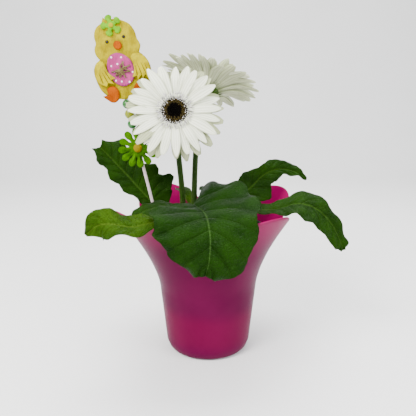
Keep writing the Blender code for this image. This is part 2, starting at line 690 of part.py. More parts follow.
def make_pick(home):
    yellow = material("yellow_felt", (0.75, 0.60, 0.03), 0.95)
    orange = material("orange_felt", (0.85, 0.28, 0.02), 0.95)
    green = material("green_felt", (0.22, 0.50, 0.03), 0.95)
    pink = material("pink_felt", (0.75, 0.25, 0.45), 0.95)
    twine = material("twine", (0.30, 0.24, 0.14), 0.9)
    black = material("black_bead", (0.01, 0.01, 0.01), 0.3)
    ochre = material("ochre_button", (0.65, 0.48, 0.03), 0.6)
    bottom, top = stick_at(STICK_BOTTOM_HEIGHT), stick_at(STICK_TOP_HEIGHT)
    finish_object("stick", rod(bottom, top, STICK_RADIUS, 12), material("white_stick", (0.7, 0.66, 0.66), 0.6), home)
    for name, (height, radius, colour) in BEADS.items():
        finish_object(name, make_bead(name, height, radius), material(name, colour, 0.35), home)

    on_stick = STICK_RADIUS + GAP
    on_body = on_stick + FELT + GAP
    on_egg = on_body + FELT + GAP
    thin = FELT * 0.7
    flat_piece("stick_flower", rosette(12, 7.5, 18.5, 0.19, -6.0), FELT, STICK_FLOWER_HEIGHT, on_stick, green, home)
    knob("stick_flower_button", 4.2, 2.4, STICK_FLOWER_HEIGHT, on_body, (0, 0), ochre, home, 16)
    flat_piece("chick_body", CHICK_BODY, FELT, CHICK_HEIGHT, on_stick, yellow, home)
    flat_piece("chick_egg", CHICK_EGG, FELT, CHICK_HEIGHT, on_body, pink, home)
    flat_piece("chick_wing_left", CHICK_WING_LEFT, thin, CHICK_HEIGHT, on_egg, yellow, home)
    flat_piece("chick_wing_right", CHICK_WING_RIGHT, thin, CHICK_HEIGHT, on_egg, yellow, home)
    flat_piece("chick_foot_left", CHICK_FOOT_LEFT, FELT, CHICK_HEIGHT, on_body, orange, home)
    flat_piece("chick_foot_right", CHICK_FOOT_RIGHT, FELT, CHICK_HEIGHT, on_body, orange, home)
    flat_piece("chick_beak", CHICK_BEAK, FELT, CHICK_HEIGHT, on_body, orange, home)
    for name, at in CHICK_EYES.items():
        knob(name, 1.5, 1.3, CHICK_HEIGHT, on_body, at, black, home)
    flower = rosette(5, 3.4, 9.4, 0.40, 26.0, HEAD_FLOWER_CENTRE)
    flat_piece("chick_flower", flower, thin, CHICK_HEIGHT, on_body, green, home)
    knob("chick_flower_button", 2.2, 1.2, CHICK_HEIGHT, on_body + thin + GAP, HEAD_FLOWER_CENTRE, yellow, home)
    make_bow(on_egg, twine, home)


def main():
    clear_scene()
    home = bpy.data.collections.new("potted_gerbera")
    bpy.context.scene.collection.children.link(home)
    green_leaf = material("leaf_green", (0.06, 0.19, 0.02), 0.5)
    green_stem = material("stem_green", (0.05, 0.15, 0.02), 0.5)
    make_cover_pot(home)
    make_nursery_pot(home)
    feet = [leaf.foot() for leaf in LEAVES] + [bloom.foot() for bloom in BLOOMS]
    feet.append((stick_at(STICK_BOTTOM_HEIGHT - GAP), stick_at(150.0), STICK_RADIUS))
    make_soil(home, feet)
    for leaf in LEAVES:
        leaf.make(home, green_leaf)
    for bloom in BLOOMS:
        bloom.make(home, green_stem)
    make_pick(home)


main()
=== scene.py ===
"""Looks of a potted gerbera: two white blooms and a rosette of leaves in a lobed magenta cover pot, with a
felt chick on a beaded pick. Every class holds its sizes in millimetres; MM turns them into metres."""

import json
import logging
import math
from dataclasses import dataclass, field
from enum import Enum
from typing import Callable, Sequence

import bmesh
import bpy
from mathutils import Matrix, Vector, geometry, noise

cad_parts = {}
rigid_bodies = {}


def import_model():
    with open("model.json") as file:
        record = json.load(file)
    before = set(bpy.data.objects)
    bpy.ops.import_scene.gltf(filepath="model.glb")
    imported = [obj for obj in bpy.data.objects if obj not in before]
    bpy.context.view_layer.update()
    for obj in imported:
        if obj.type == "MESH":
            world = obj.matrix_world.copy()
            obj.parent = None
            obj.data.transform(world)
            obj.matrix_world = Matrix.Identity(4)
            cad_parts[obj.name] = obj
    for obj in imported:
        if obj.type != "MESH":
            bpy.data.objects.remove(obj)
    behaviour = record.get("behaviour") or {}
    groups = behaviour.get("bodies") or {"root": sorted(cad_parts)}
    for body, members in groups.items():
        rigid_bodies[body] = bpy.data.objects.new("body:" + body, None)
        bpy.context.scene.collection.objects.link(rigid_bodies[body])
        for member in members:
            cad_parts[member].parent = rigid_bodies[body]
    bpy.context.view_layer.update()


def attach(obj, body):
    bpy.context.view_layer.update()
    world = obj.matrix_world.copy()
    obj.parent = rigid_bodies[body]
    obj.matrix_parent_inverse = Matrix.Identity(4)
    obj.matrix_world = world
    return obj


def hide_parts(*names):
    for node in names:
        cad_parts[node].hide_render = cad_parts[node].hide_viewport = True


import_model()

MM = 0.001
ROOT = "root"
ANY_HEADING = 6.283
LOG = logging.getLogger("potted_gerbera")
Point = tuple[float, float, float]
Outline = Sequence[tuple]
Colour = tuple[float, float, float]
Mesh = bpy.types.Mesh
Material = bpy.types.Material
Value = bpy.types.NodeSocket


# Curves and meshes

def catmull(points: Sequence[Vector], t: float) -> Vector:
    """Reads a smooth curve through points.

    Args:
        points: The points that the curve passes.
        t: The place along it, from 0 to 1.

    Returns:
        The point on the curve.
    """
    spans = len(points) - 1
    place = min(max(t, 0.0), 1.0) * spans
    k = min(int(place), spans - 1)
    u = place - k
    p1, p2 = Vector(points[k]), Vector(points[k + 1])
    p0 = Vector(points[k - 1]) if k else p1 * 2 - p2
    p3 = Vector(points[k + 2]) if k + 2 <= spans else p2 * 2 - p1
    return 0.5 * (2 * p1 + (p2 - p0) * u + (2 * p0 - 5 * p1 + 4 * p2 - p3) * u * u
                  + (3 * p1 - p0 - 3 * p2 + p3) * u ** 3)


def stem_curve(points: Sequence[Vector], t: float) -> Vector:
    """Reads a curve whose first span, the one in the soil, is straight.

    Args:
        points: The points that the curve passes.
        t: The place along it, from 0 to 1.

    Returns:
        The point on the curve.
    """
    first = 1 / (len(points) - 1)
    if t < first:
        return Vector(points[0]).lerp(Vector(points[1]), t / first)
    return catmull(points, t)


def along(values: Sequence[float], t: float) -> float:
    """Reads numbers spaced evenly from 0 to 1.

    Args:
        values: The numbers.
        t: The place, from 0 to 1.

    Returns:
        The number there, with smooth steps between the given ones.
    """
    return catmull([Vector((v, 0.0, 0.0)) for v in values], t).x


def smooth_step(value: float) -> float:
    """Returns 0 below 0, 1 above 1 and a soft step between."""
    value = min(max(value, 0.0), 1.0)
    return value * value * (3 - 2 * value)


def aimed(direction: Vector, at: Vector = Vector()) -> Matrix:
    """Returns the matrix that turns +Z to a direction and moves the origin to a point.

    Args:
        direction: Where +Z points.
        at: Where the origin goes.

    Returns:
        The matrix.
    """
    matrix = direction.to_track_quat("Z", "Y").to_matrix().to_4x4()
    matrix.translation = at
    return matrix
def turns(sides: int) -> list[float]:
    """Returns evenly spaced angles once round a circle."""
    return [2 * math.pi * i / sides for i in range(sides)]
def polar(radius: float, angle: float, height: float = 0.0) -> Vector:
    """Returns the point at a distance from the Z axis, at an angle and a height."""
    return Vector((radius * math.cos(angle), radius * math.sin(angle), height))


@dataclass
class Sketch:
    """Points in millimetres, faces, and per point a pattern place, that become one mesh."""

    points: list[Vector] = field(default_factory=list)
    faces: list[tuple[int, ...]] = field(default_factory=list)
    pattern: list[tuple[float, float]] = field(default_factory=list)
    slots: list[int] = field(default_factory=list)

    def ring(self, points: Sequence[Vector], pattern: Sequence[tuple[float, float]] | None = None) -> int:
        """Adds points that form a ring.

        Args:
            points: The ring's points in order.
            pattern: Their places in the pattern, or None.

        Returns:
            The index of the first point.
        """
        start = len(self.points)
        self.points.extend(Vector(p) for p in points)
        self.pattern.extend(pattern or [(0.0, 0.0)] * len(points))
        return start

    def circle(self, radius: float, height: float, sides: int) -> int:
        """Adds a level ring about the Z axis and returns the index of its first point."""
        return self.ring([polar(radius, a, height) for a in turns(sides)])

    def loft(self, starts: Sequence[int], count: int, slot_of: Callable[[int, int], int] = lambda row, i: 0,
             ends: bool = True) -> None:
        """Joins rings in a row with quads.

        Args:
            starts: The first point of each ring.
            count: How many points a ring has.
            slot_of: Gives the finish of each quad from its row and its place in the row.
            ends: Whether the first and the last ring are closed with a face.
        """
        if ends:
            self.cap(starts[0], count, True)
        for row, (low, high) in enumerate(zip(starts, starts[1:])):
            for i in range(count):
                j = (i + 1) % count
                self.faces.append((low + i, low + j, high + j, high + i))
                self.slots.append(slot_of(row, i))
        if ends:
            self.cap(starts[-1], count)

    def lathe(self, profile: Sequence[tuple[float, float]], sides: int) -> None:
        """Adds a closed body turned about the Z axis from radii and heights."""
        self.loft([self.circle(radius, height, sides) for radius, height in profile], sides)

    def cap(self, start: int, count: int, flip: bool = False) -> None:
        """Closes a ring with one face.

        Args:
            start: The ring's first point.
            count: How many points it has.
            flip: Whether the face looks down.
        """
        face = tuple(range(start, start + count))
        self.faces.append(tuple(reversed(face)) if flip else face)
        self.slots.append(0)

    def tube(self, centres: Sequence[Vector], radii: Sequence[float], sides: int, flat: float = 1.0) -> None:
        """Adds a closed tube.

        Args:
            centres: The points along its middle.
            radii: The radius at each of them.
            sides: How many sides it has.
            flat: How much thinner it is in its second direction.
        """
        starts = []
        side = None
        for k, centre in enumerate(centres):
            ahead = (centres[min(k + 1, len(centres) - 1)] - centres[max(k - 1, 0)]).normalized()
            side = side or ahead.orthogonal()
            side = (side - ahead * side.dot(ahead)).normalized()
            up = ahead.cross(side)
            ring = [centre + (side * math.cos(a) + up * math.sin(a) * flat) * radii[k] for a in turns(sides)]
            starts.append(self.ring(ring, [(k / (len(centres) - 1), i / sides) for i in range(sides)]))
        self.loft(starts, sides)

    def mesh(self, name: str, matrix: Matrix | None = None, smooth: float = 180.0) -> Mesh:
        """Makes the mesh in metres.

        Args:
            name: The mesh's name.
            matrix: A move in millimetres, or None.
            smooth: Edges sharper than this angle stay sharp.

        Returns:
            The mesh, with its pattern places in a UV map.
        """
        mesh = bpy.data.meshes.new(name)
        move = matrix or Matrix()
        mesh.from_pydata([tuple((move @ p) * MM) for p in self.points], [], self.faces)
        layer = mesh.uv_layers.new(name="UVMap")
        for loop in mesh.loops:
            layer.data[loop.index].uv = self.pattern[loop.vertex_index]
        mesh.polygons.foreach_set("material_index", self.slots)
        shape = bmesh.new()
        shape.from_mesh(mesh)
        bmesh.ops.recalc_face_normals(shape, faces=shape.faces)
        shape.to_mesh(mesh)
        shape.free()
        mesh.shade_smooth()
        if smooth < 180.0:
            mesh.set_sharp_from_angle(angle=math.radians(smooth))
        mesh.update()
        return mesh


def strap(name: str, length: float, half_widths: Sequence[float], heights: Sequence[float], cup: float,
          thickness: float, rows: int, columns: int, groove: float = 0.0, twist: float = 0.0) -> Mesh:
    """Makes a thin closed blade along +X, such as a ray, a floret or a bract.

    Args:
        name: The mesh's name.
        length: Its length.
        half_widths: Half its width at even steps.
        heights: The height of its middle at even steps.
        cup: How far its edges lift, as a share of the half-width.
        thickness: Its thickness.
        rows: Steps along it.
        columns: Points across it.
        groove: Depth of the two grooves that run along it.
        twist: Degrees that its tip is turned about its length.

    Returns:
        The mesh.
    """
    sketch = Sketch()
    starts = []
    for i in range(rows + 1):
        s = i / rows
        half = max(along(half_widths, s), 0.05)
        turn = math.radians(twist) * s * s
        upper, lower, places = [], [], []
        for k in range(columns):
            q = 2 * k / (columns - 1) - 1
            lift = cup * half * q * q - groove * math.sin(math.pi * s) * math.cos(3 * math.pi * q) * (1 - q * q)
            across, up = q * half, lift
            y = across * math.cos(turn) - up * math.sin(turn)
            z = across * math.sin(turn) + up * math.cos(turn) + along(heights, s)
            body = thickness / 2 * (1 - 0.75 * q * q) * (1 - 0.6 * s)
            upper.append(Vector((length * s, y, z + body)))
            lower.append(Vector((length * s, y, z - body)))
            places.append((s, q * 0.5 + 0.5))
        starts.append(sketch.ring(upper + lower[::-1], places + places[::-1]))
    sketch.loft(starts, 2 * columns)
    return sketch.mesh(name)


def linked(name: str, data: bpy.types.ID) -> bpy.types.Object:
    """Makes an object and links it to the scene.

    Args:
        name: Its name.
        data: Its data.

    Returns:
        The object.
    """
    made = bpy.data.objects.new(name, data)
    bpy.context.scene.collection.objects.link(made)
    return made


def evaluated(host: bpy.types.Object) -> Mesh:
    """Returns the plain mesh that an object comes to."""
    bpy.context.view_layer.update()
    return bpy.data.meshes.new_from_object(host.evaluated_get(bpy.context.evaluated_depsgraph_get()))


def keep(name: str, mesh: Mesh, looks: Sequence[str], slot: str, *nodes: str) -> None:
    """Turns a finished mesh into a piece of the object.

    Args:
        name: The piece's name.
        mesh: Its mesh, in place.
        looks: The names of its finishes, in the order of the mesh's slots.
        slot: The record's material slot; not used.
        nodes: The CAD nodes that it stands for.
    """
    chosen = [min(face.material_index, len(looks) - 1) for face in mesh.polygons]
    mesh.materials.clear()
    for look in looks:
        mesh.materials.append(LOOKS[look])
    mesh.polygons.foreach_set("material_index", chosen)
    piece = linked(name, mesh)
    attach(piece, ROOT)
    if nodes:
        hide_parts(*nodes)
    triangles = sum(len(face.vertices) - 2 for face in mesh.polygons)
    LOG.info("%s: %d triangles", name, triangles)


# Geometry Nodes

class Socket(Enum):
    """The kinds of input that the trees below have."""

    NUMBER = "NodeSocketFloat"
    WHOLE = "NodeSocketInt"
    OBJECT = "NodeSocketObject"
    COLLECTION = "NodeSocketCollection"
    MATERIAL = "NodeSocketMaterial"
    GEOMETRY = "NodeSocketGeometry"


class NodeSketch:
    """Adds and joins the nodes of a tree."""

    def __init__(self, tree: bpy.types.NodeTree) -> None:
        """Starts on a tree."""
        self.tree = tree

    def add(self, kind: str, **settings: object) -> bpy.types.Node:
        """Adds a node with its settings.

        Args:
            kind: The node's type.
            settings: Values of its properties.

        Returns:
            The node.
        """
        node = self.tree.nodes.new(kind)
        for key, value in settings.items():
            setattr(node, key, value)
        return node

    def feed(self, value: object, socket: Value) -> None:
        """Links an output to a socket, or sets a plain value on it."""
        if isinstance(value, Value):
            self.tree.links.new(value, socket)
        elif value is not None:
            socket.default_value = value

    def fill(self, node: bpy.types.Node, **values: object) -> bpy.types.Node:
        """Feeds a node's inputs by name, with _ for a space, and returns the node."""
        for label, value in values.items():
            self.feed(value, node.inputs[label.replace("_", " ")])
        return node

    def math(self, operation: str, *values: object) -> Value:
        """Adds a Math node.

        Args:
            operation: What it works out.
            values: Its inputs.

        Returns:
            Its result.
        """
        node = self.add("ShaderNodeMath", operation=operation)
        for value, socket in zip(values, node.inputs):
            self.feed(value, socket)
        return node.outputs[0]

    def plus(self, first: object, second: object) -> Value:
        """Returns the sum of two values."""
        return self.math("ADD", first, second)

    def minus(self, first: object, second: object) -> Value:
        """Returns the first value less the second."""
        return self.math("SUBTRACT", first, second)

    def times(self, first: object, second: object) -> Value:
        """Returns the product of two values."""
        return self.math("MULTIPLY", first, second)


class GeometryTree(NodeSketch):
    """A Geometry Nodes tree with named inputs, built in a few short steps."""

    def __init__(self, name: str, inputs: dict[str, Socket]) -> None:
        """Makes the tree and its inputs.

        Args:
            name: The tree's name.
            inputs: The kind of each named input.
        """
        super().__init__(bpy.data.node_groups.new(name, "GeometryNodeTree"))
        sockets = {"Geometry": Socket.GEOMETRY, **inputs}
        self.ids = {label: self._socket(label, kind) for label, kind in sockets.items()}
        self.tree.interface.new_socket("Geometry", in_out="OUTPUT", socket_type=Socket.GEOMETRY.value)
        self.inputs = self.tree.nodes.new("NodeGroupInput").outputs
        self.result = self.tree.nodes.new("NodeGroupOutput").inputs[0]

    def _socket(self, label: str, kind: Socket) -> str:
        """Adds one input and returns its identifier."""
        return self.tree.interface.new_socket(label, in_out="INPUT", socket_type=kind.value).identifier

    def vector(self, x: object, y: object, z: object) -> Value:
        """Adds a Combine XYZ node and returns the vector."""
        return self.fill(self.add("ShaderNodeCombineXYZ"), X=x, Y=y, Z=z).outputs[0]

    def random(self, low: object, high: object, offset: int) -> Value:
        """Adds a random number between two values, with its own fixed seed.

        Args:
            low: The lowest value.
            high: The highest value.
            offset: Added to the tree's seed.

        Returns:
            The number.
        """
        node = self.add("FunctionNodeRandomValue", data_type="FLOAT")
        self.feed(low, node.inputs[2])
        self.feed(high, node.inputs[3])
        self.feed(self.plus(self.inputs["Seed"], float(offset)), node.inputs[8])
        return node.outputs[1]

    def spread(self, amount: object, offset: int) -> Value:
        """Adds a random number between minus and plus an amount."""
        return self.random(self.times(amount, -1.0), amount, offset)

    def between(self, low: object, high: object, share: object) -> Value:
        """Returns the value at a share of the way from low to high."""
        return self.plus(low, self.times(share, self.minus(high, low)))

    def round_points(self, radius: object, angle: object, height: object) -> Value:
        """Adds points about the Z axis, as many as the input Count says.

        Args:
            radius: Each point's distance from the axis.
            angle: Its angle.
            height: Its height.

        Returns:
            The points.
        """
        x = self.times(self.math("COSINE", angle), radius)
        y = self.times(self.math("SINE", angle), radius)
        points = self.add("GeometryNodePoints")
        return self.fill(points, Count=self.inputs["Count"], Position=self.vector(x, y, height)).outputs[0]

    def instances(self, points: object, shape: object, rotation: object, scale: object,
                  index: object = None) -> None:
        """Sets copies on points, makes them real, gives them their finish and ends the tree.

        Args:
            points: The points.
            shape: What is copied.
            rotation: Each copy's turn.
            scale: Each copy's size.
            index: Which of several shapes each point takes, or None for a single shape.
        """
        place = self.fill(self.add("GeometryNodeInstanceOnPoints"), Points=points, Instance=shape,
                          Rotation=rotation, Scale=scale, Pick_Instance=index is not None, Instance_Index=index)
        real = self.fill(self.add("GeometryNodeRealizeInstances"), Geometry=place.outputs[0])
        finish = self.fill(self.add("GeometryNodeSetMaterial"), Geometry=real.outputs[0],
                           Material=self.inputs["Finish"])
        self.tree.links.new(finish.outputs[0], self.result)

    def grow(self, base: Mesh, **values: object) -> Mesh:
        """Runs the tree on a mesh.

        Args:
            base: The mesh that the tree starts from.
            values: A value for each named input, with _ for a space.

        Returns:
            The plain mesh that the tree makes.
        """
        host = linked("host", base)
        step = host.modifiers.new("Grow", "NODES")
        step.node_group = self.tree
        for label, value in values.items():
            step[self.ids[label.replace("_", " ")]] = value
        grown = evaluated(host)
        host.modifiers.remove(step)
        bpy.data.objects.remove(host)
        return grown

    def grow_blades(self, blades: Sequence[Mesh], **values: object) -> Mesh:
        """Runs a tree that takes its shapes from a collection.

        Args:
            blades: The shapes.
            values: A value for each other input, with _ for a space.

        Returns:
            The plain mesh that the tree makes.
        """
        kinds = bpy.data.collections.new("blades")
        bpy.context.scene.collection.children.link(kinds)
        for mesh in blades:
            kinds.objects.link(bpy.data.objects.new(mesh.name, mesh))
        grown = self.grow(bpy.data.meshes.new("none"), Blades=kinds, Kinds=len(blades), **values)
        for helper in list(kinds.objects):
            bpy.data.objects.remove(helper)
        bpy.data.collections.remove(kinds)
        return grown


def whorl_tree() -> GeometryTree:
    """Builds the tree that sets blades around a centre, as the rays of a bloom stand.

    Returns:
        The tree.
    """
    number = Socket.NUMBER
    made = GeometryTree("whorl", {
        "Blades": Socket.COLLECTION, "Kinds": Socket.WHOLE, "Count": Socket.WHOLE, "Radius": number,
        "Height": number, "Start": number, "Rise": number, "Rise spread": number, "Turn spread": number,
        "Roll spread": number, "Size spread": number, "Seed": Socket.WHOLE, "Finish": Socket.MATERIAL})
    given = made.inputs
    place = made.add("GeometryNodeInputIndex").outputs[0]
    step = made.math("DIVIDE", 2 * math.pi, given["Count"])
    even = made.plus(made.times(place, step), given["Start"])
    angle = made.plus(even, made.spread(given["Turn spread"], 1))
    points = made.round_points(given["Radius"], angle, given["Height"])
    blades = made.fill(made.add("GeometryNodeCollectionInfo"), Collection=given["Blades"],
                       Separate_Children=True, Reset_Children=True)
    rise = made.plus(given["Rise"], made.spread(given["Rise spread"], 2))
    turn = made.vector(made.spread(given["Roll spread"], 3), made.times(rise, -1.0), angle)
    size = made.plus(1.0, made.spread(given["Size spread"], 4))
    kind = made.math("FLOOR", made.random(0.0, given["Kinds"], 5))
    made.instances(points, blades.outputs[0], turn, size, kind)
    return made


def spiral_tree() -> GeometryTree:
    """Builds the tree that sets florets in the spiral of a daisy's disc.

    Returns:
        The tree.
    """
    number = Socket.NUMBER
    made = GeometryTree("disc_spiral", {
        "Floret": Socket.OBJECT, "Count": Socket.WHOLE, "Inner radius": number, "Outer radius": number,
        "Inner height": number, "Outer height": number, "Inner lean": number, "Outer lean": number,
        "Lean spread": number, "Size spread": number, "Seed": Socket.WHOLE, "Finish": Socket.MATERIAL})
    given = made.inputs
    place = made.add("GeometryNodeInputIndex").outputs[0]
    share = made.math("DIVIDE", made.plus(place, 0.5), given["Count"])
    golden_angle = math.pi * (3 - math.sqrt(5))
    angle = made.times(place, golden_angle)
    inner, outer = (made.math("POWER", given[label + " radius"], 2.0) for label in ("Inner", "Outer"))
    radius = made.math("SQRT", made.between(inner, outer, share))
    run = made.minus(given["Outer radius"], given["Inner radius"])
    way = made.math("DIVIDE", made.minus(radius, given["Inner radius"]), run)
    height = made.between(given["Inner height"], given["Outer height"], way)
    points = made.round_points(radius, angle, height)
    floret = made.fill(made.add("GeometryNodeObjectInfo"), Object=given["Floret"])
    lean = made.between(given["Inner lean"], given["Outer lean"], way)
    lean = made.plus(lean, made.spread(given["Lean spread"], 1))
    turn = made.vector(made.spread(given["Lean spread"], 2), lean, angle)
    size = made.plus(1.0, made.spread(given["Size spread"], 3))
    made.instances(points, floret.outputs["Geometry"], turn, size)
    return made


def scatter_tree() -> GeometryTree:
    """Builds the tree that strews small shapes over a surface, such as hairs, fibres and crumbs.

    Returns:
        The tree.
    """
    number = Socket.NUMBER
    made = GeometryTree("scatter", {
        "Shape": Socket.OBJECT, "Density": number, "Tilt": number, "Smallest": number, "Largest": number,
        "Seed": Socket.WHOLE, "Finish": Socket.MATERIAL})
    given = made.inputs
    strewn = made.fill(made.add("GeometryNodeDistributePointsOnFaces"), Mesh=given["Geometry"],
                       Density=given["Density"], Seed=given["Seed"])
    shape = made.fill(made.add("GeometryNodeObjectInfo"), Object=given["Shape"])
    heading = made.random(0.0, ANY_HEADING, 3)
    lean = made.vector(made.spread(given["Tilt"], 1), made.spread(given["Tilt"], 2), heading)
    turn = made.add("FunctionNodeRotateRotation", rotation_space="LOCAL")
    made.feed(strewn.outputs["Rotation"], turn.inputs[0])
    made.feed(lean, turn.inputs[1])
    size = made.random(given["Smallest"], given["Largest"], 4)
    made.instances(strewn.outputs["Points"], shape.outputs["Geometry"], turn.outputs[0], size)
    return made


WHORL, SPIRAL, SCATTER = whorl_tree(), spiral_tree(), scatter_tree()


def helper_object(mesh: Mesh) -> bpy.types.Object:
    """Returns an unlinked object that a tree copies."""
    return bpy.data.objects.new(mesh.name, mesh)


def finished(name: str, shape: bmesh.types.BMesh) -> Mesh:
    """Turns a working shape into a smooth mesh.

    Args:
        name: The mesh's name.
        shape: The working shape, which is freed.

    Returns:
        The mesh.
    """
    made = bpy.data.meshes.new(name)
    shape.to_mesh(made)
    shape.free()
    made.shade_smooth()
    return made


def merged(name: str, meshes: Sequence[Mesh], smooth: float = 180.0, own_slots: bool = False) -> Mesh:
    """Joins meshes.

    Args:
        name: The new mesh's name.
        meshes: The meshes.
        smooth: Edges sharper than this angle stay sharp.
        own_slots: Whether each mesh gets its own finish slot instead of keeping those it has.

    Returns:
        One mesh with all of them.
    """
    shape = bmesh.new()
    for number, mesh in enumerate(meshes):
        before = len(shape.faces)
        shape.from_mesh(mesh)
        shape.faces.ensure_lookup_table()
        for face in shape.faces[before:] if own_slots else ():
            face.material_index = number
    made = finished(name, shape)
    if smooth < 180.0:
        made.set_sharp_from_angle(angle=math.radians(smooth))
    return made


@dataclass(frozen=True)
class Strewing:
    """How thickly small shapes are strewn, how far they tilt, and their smallest and largest size."""

    density: float
    tilt: float
    smallest: float
    largest: float

    def grow(self, base: Mesh, shape: Mesh, seed: int, look: str) -> Mesh:
        """Strews a shape over a mesh.

        Args:
            base: The mesh that is strewn over.
            shape: The small shape.
            seed: The seed of its random draws.
            look: Its finish.

        Returns:
            A mesh of all the small shapes.
        """
        return SCATTER.grow(base, Shape=helper_object(shape), Density=self.density, Tilt=self.tilt,
                            Smallest=self.smallest, Largest=self.largest, Seed=seed, Finish=LOOKS[look])


SOIL_CRUMBS = Strewing(70000.0, 3.0, 0.4, 1.4)
PEAT_FIBRES = Strewing(26000.0, 0.35, 0.4, 1.4)
PERLITE = Strewing(6500.0, 3.0, 0.5, 1.3)
STEM_DOWN = Strewing(900000.0, 0.4, 0.5, 1.3)
FELT_WOOL = Strewing(900000.0, 1.1, 0.5, 1.2)


def wool_hair() -> Mesh:
    """Makes one short bent hair of wool.

    Returns:
        The hair.
    """
    hair = Sketch()
    hair.tube([Vector((0, 0, -0.1)), Vector((0.12, 0, 0.5)), Vector((0.35, 0, 0.8))], [0.04, 0.035, 0.015], 3)
    return hair.mesh("wool")


# Shader groups

class ShaderSketch(NodeSketch):
    """Adds and joins shader nodes in a material or a group."""

    def remap(self, value: object, low: object, high: object, new_low: object = 0.0,
              new_high: object = 1.0) -> Value:
        """Adds a smooth Map Range node.

        Args:
            value: What is mapped.
            low: The value that becomes new_low.
            high: The value that becomes new_high.
            new_low: The result at low.
            new_high: The result at high.

        Returns:
            The mapped value.
        """
        node = self.add("ShaderNodeMapRange", interpolation_type="SMOOTHSTEP")
        for item, socket in zip((value, low, high, new_low, new_high), node.inputs):
            self.feed(item, socket)
        return node.outputs[0]

    def blend(self, share: object, first: object, second: object) -> Value:
        """Adds a colour mix.

        Args:
            share: How much of the second colour shows.
            first: The first colour.
            second: The second colour.

        Returns:
            The mixed colour.
        """
        node = self.add("ShaderNodeMix", data_type="RGBA")
        for value, place in ((share, 0), (paint(first), 6), (paint(second), 7)):
            self.feed(value, node.inputs[place])
        return node.outputs[2]

    def tint(self, mask: object, share: float, ground: object, colour: object) -> Value:
        """Mixes a colour into the ground where the mask says, at most by the share."""
        return self.blend(self.times(mask, share), ground, colour)

    def noise(self, scale: object, detail: float = 2.0, turn: float = 0.0,
              squeeze: float = 1.0) -> Value:
        """Adds a noise on the object's own coordinates.

        Args:
            scale: How fine it is.
            detail: How many finer layers it has.
            turn: A turn about Y, in radians.
            squeeze: The scale along the turned Z; a small one draws the noise out into strands.

        Returns:
            The noise's value.
        """
        place = self.add("ShaderNodeTexCoord").outputs["Object"]
        if squeeze != 1.0:
            place = self.fill(self.add("ShaderNodeMapping"), Vector=place, Rotation=(0.0, turn, 0.0),
                              Scale=(1.0, 1.0, squeeze)).outputs[0]
        return self.fill(self.add("ShaderNodeTexNoise"), Vector=place, Scale=scale, Detail=detail).outputs["Fac"]

    def pattern_place(self) -> tuple[Value, Value]:
        """Reads the place in the piece's own pattern.

        Returns:
            How far along and how far across it a point lies.
        """
        split = self.add("ShaderNodeSeparateXYZ")
        self.feed(self.add("ShaderNodeUVMap", uv_map="UVMap").outputs[0], split.inputs[0])
        return split.outputs[0], split.outputs[1]

    def off_middle(self, across: object) -> Value:
        """Returns 0 in the middle of a blade and 1 at its edges."""
        return self.times(self.math("ABSOLUTE", self.minus(across, 0.5)), 2.0)

    def use(self, group: bpy.types.NodeTree, **values: float) -> bpy.types.bpy_prop_collection:
        """Places a group with its values, with _ for a space, and returns its outputs."""
        return self.fill(self.add("ShaderNodeGroup", node_tree=group), **values).outputs

    def bump(self, height: object, strength: float, distance: float) -> Value:
        """Adds a Bump node and returns its normal."""
        node = self.add("ShaderNodeBump")
        return self.fill(node, Strength=strength, Distance=distance, Height=height).outputs[0]


def paint(value: object) -> object:
    """Adds the fourth channel to a plain colour and leaves anything else as it is."""
    if isinstance(value, tuple) and len(value) == 3:
        return (*value, 1.0)
    return value


def shader_group(name: str, inputs: dict[str, float], outputs: Sequence[str]) -> tuple:
    """Starts a shader group that puts out numbers.

    Args:
        name: The group's name.
        inputs: The named inputs and their values.
        outputs: The names of the outputs.

    Returns:
        The group, a sketch on it, its inputs and its outputs.
    """
    group = bpy.data.node_groups.new(name, "ShaderNodeTree")
    for label, value in inputs.items():
        group.interface.new_socket(label, in_out="INPUT", socket_type="NodeSocketFloat").default_value = value
    for label in outputs:
        group.interface.new_socket(label, in_out="OUTPUT", socket_type="NodeSocketFloat")
    given = group.nodes.new("NodeGroupInput").outputs
    result = group.nodes.new("NodeGroupOutput").inputs
    return group, ShaderSketch(group), given, result


def mottle_group() -> bpy.types.NodeTree:
    """Builds the group for soft patches and fine grain on any surface.

    Returns:
        A group with Patch and Grain outputs.
    """
    group, sketch, given, result = shader_group("mottle", {"Patch scale": 30.0, "Grain scale": 900.0},
                                                ("Patch", "Grain"))
    for label, detail in (("Patch", 3.0), ("Grain", 2.0)):
        spots = sketch.noise(given[label + " scale"], detail)
        sketch.feed(sketch.remap(spots, 0.3, 0.7), result[label])
    return group


def vein_group() -> bpy.types.NodeTree:
    """Builds the group for a leaf's ribs, read from the leaf's own pattern places.

    Returns:
        A group with Rib, Vein and Net outputs.
    """
    group, sketch, given, result = shader_group("leaf_veins", {"Veins": 9.0, "Lean": 1.6, "Rib width": 0.06},
                                                ("Rib", "Vein", "Net"))
    place, across = sketch.pattern_place()
    out = sketch.off_middle(across)
    lean = sketch.times(sketch.math("POWER", out, 0.8), given["Lean"])
    phase = sketch.minus(sketch.times(place, given["Veins"]), lean)
    near = sketch.times(sketch.math("PINGPONG", phase, 0.5), 2.0)
    width = sketch.remap(out, 0.0, 1.0, 0.16, 0.05)
    sketch.feed(sketch.remap(out, 0.0, given["Rib width"], 1.0, 0.0), result["Rib"])
    sketch.feed(sketch.minus(1.0, sketch.remap(near, 0.02, width)), result["Vein"])
    cells = sketch.fill(sketch.add("ShaderNodeTexVoronoi", feature="DISTANCE_TO_EDGE"),
                        Vector=sketch.add("ShaderNodeTexCoord").outputs["Object"], Scale=330.0)
    sketch.feed(sketch.remap(cells.outputs["Distance"], 0.02, 0.14, 1.0, 0.0), result["Net"])
    return group


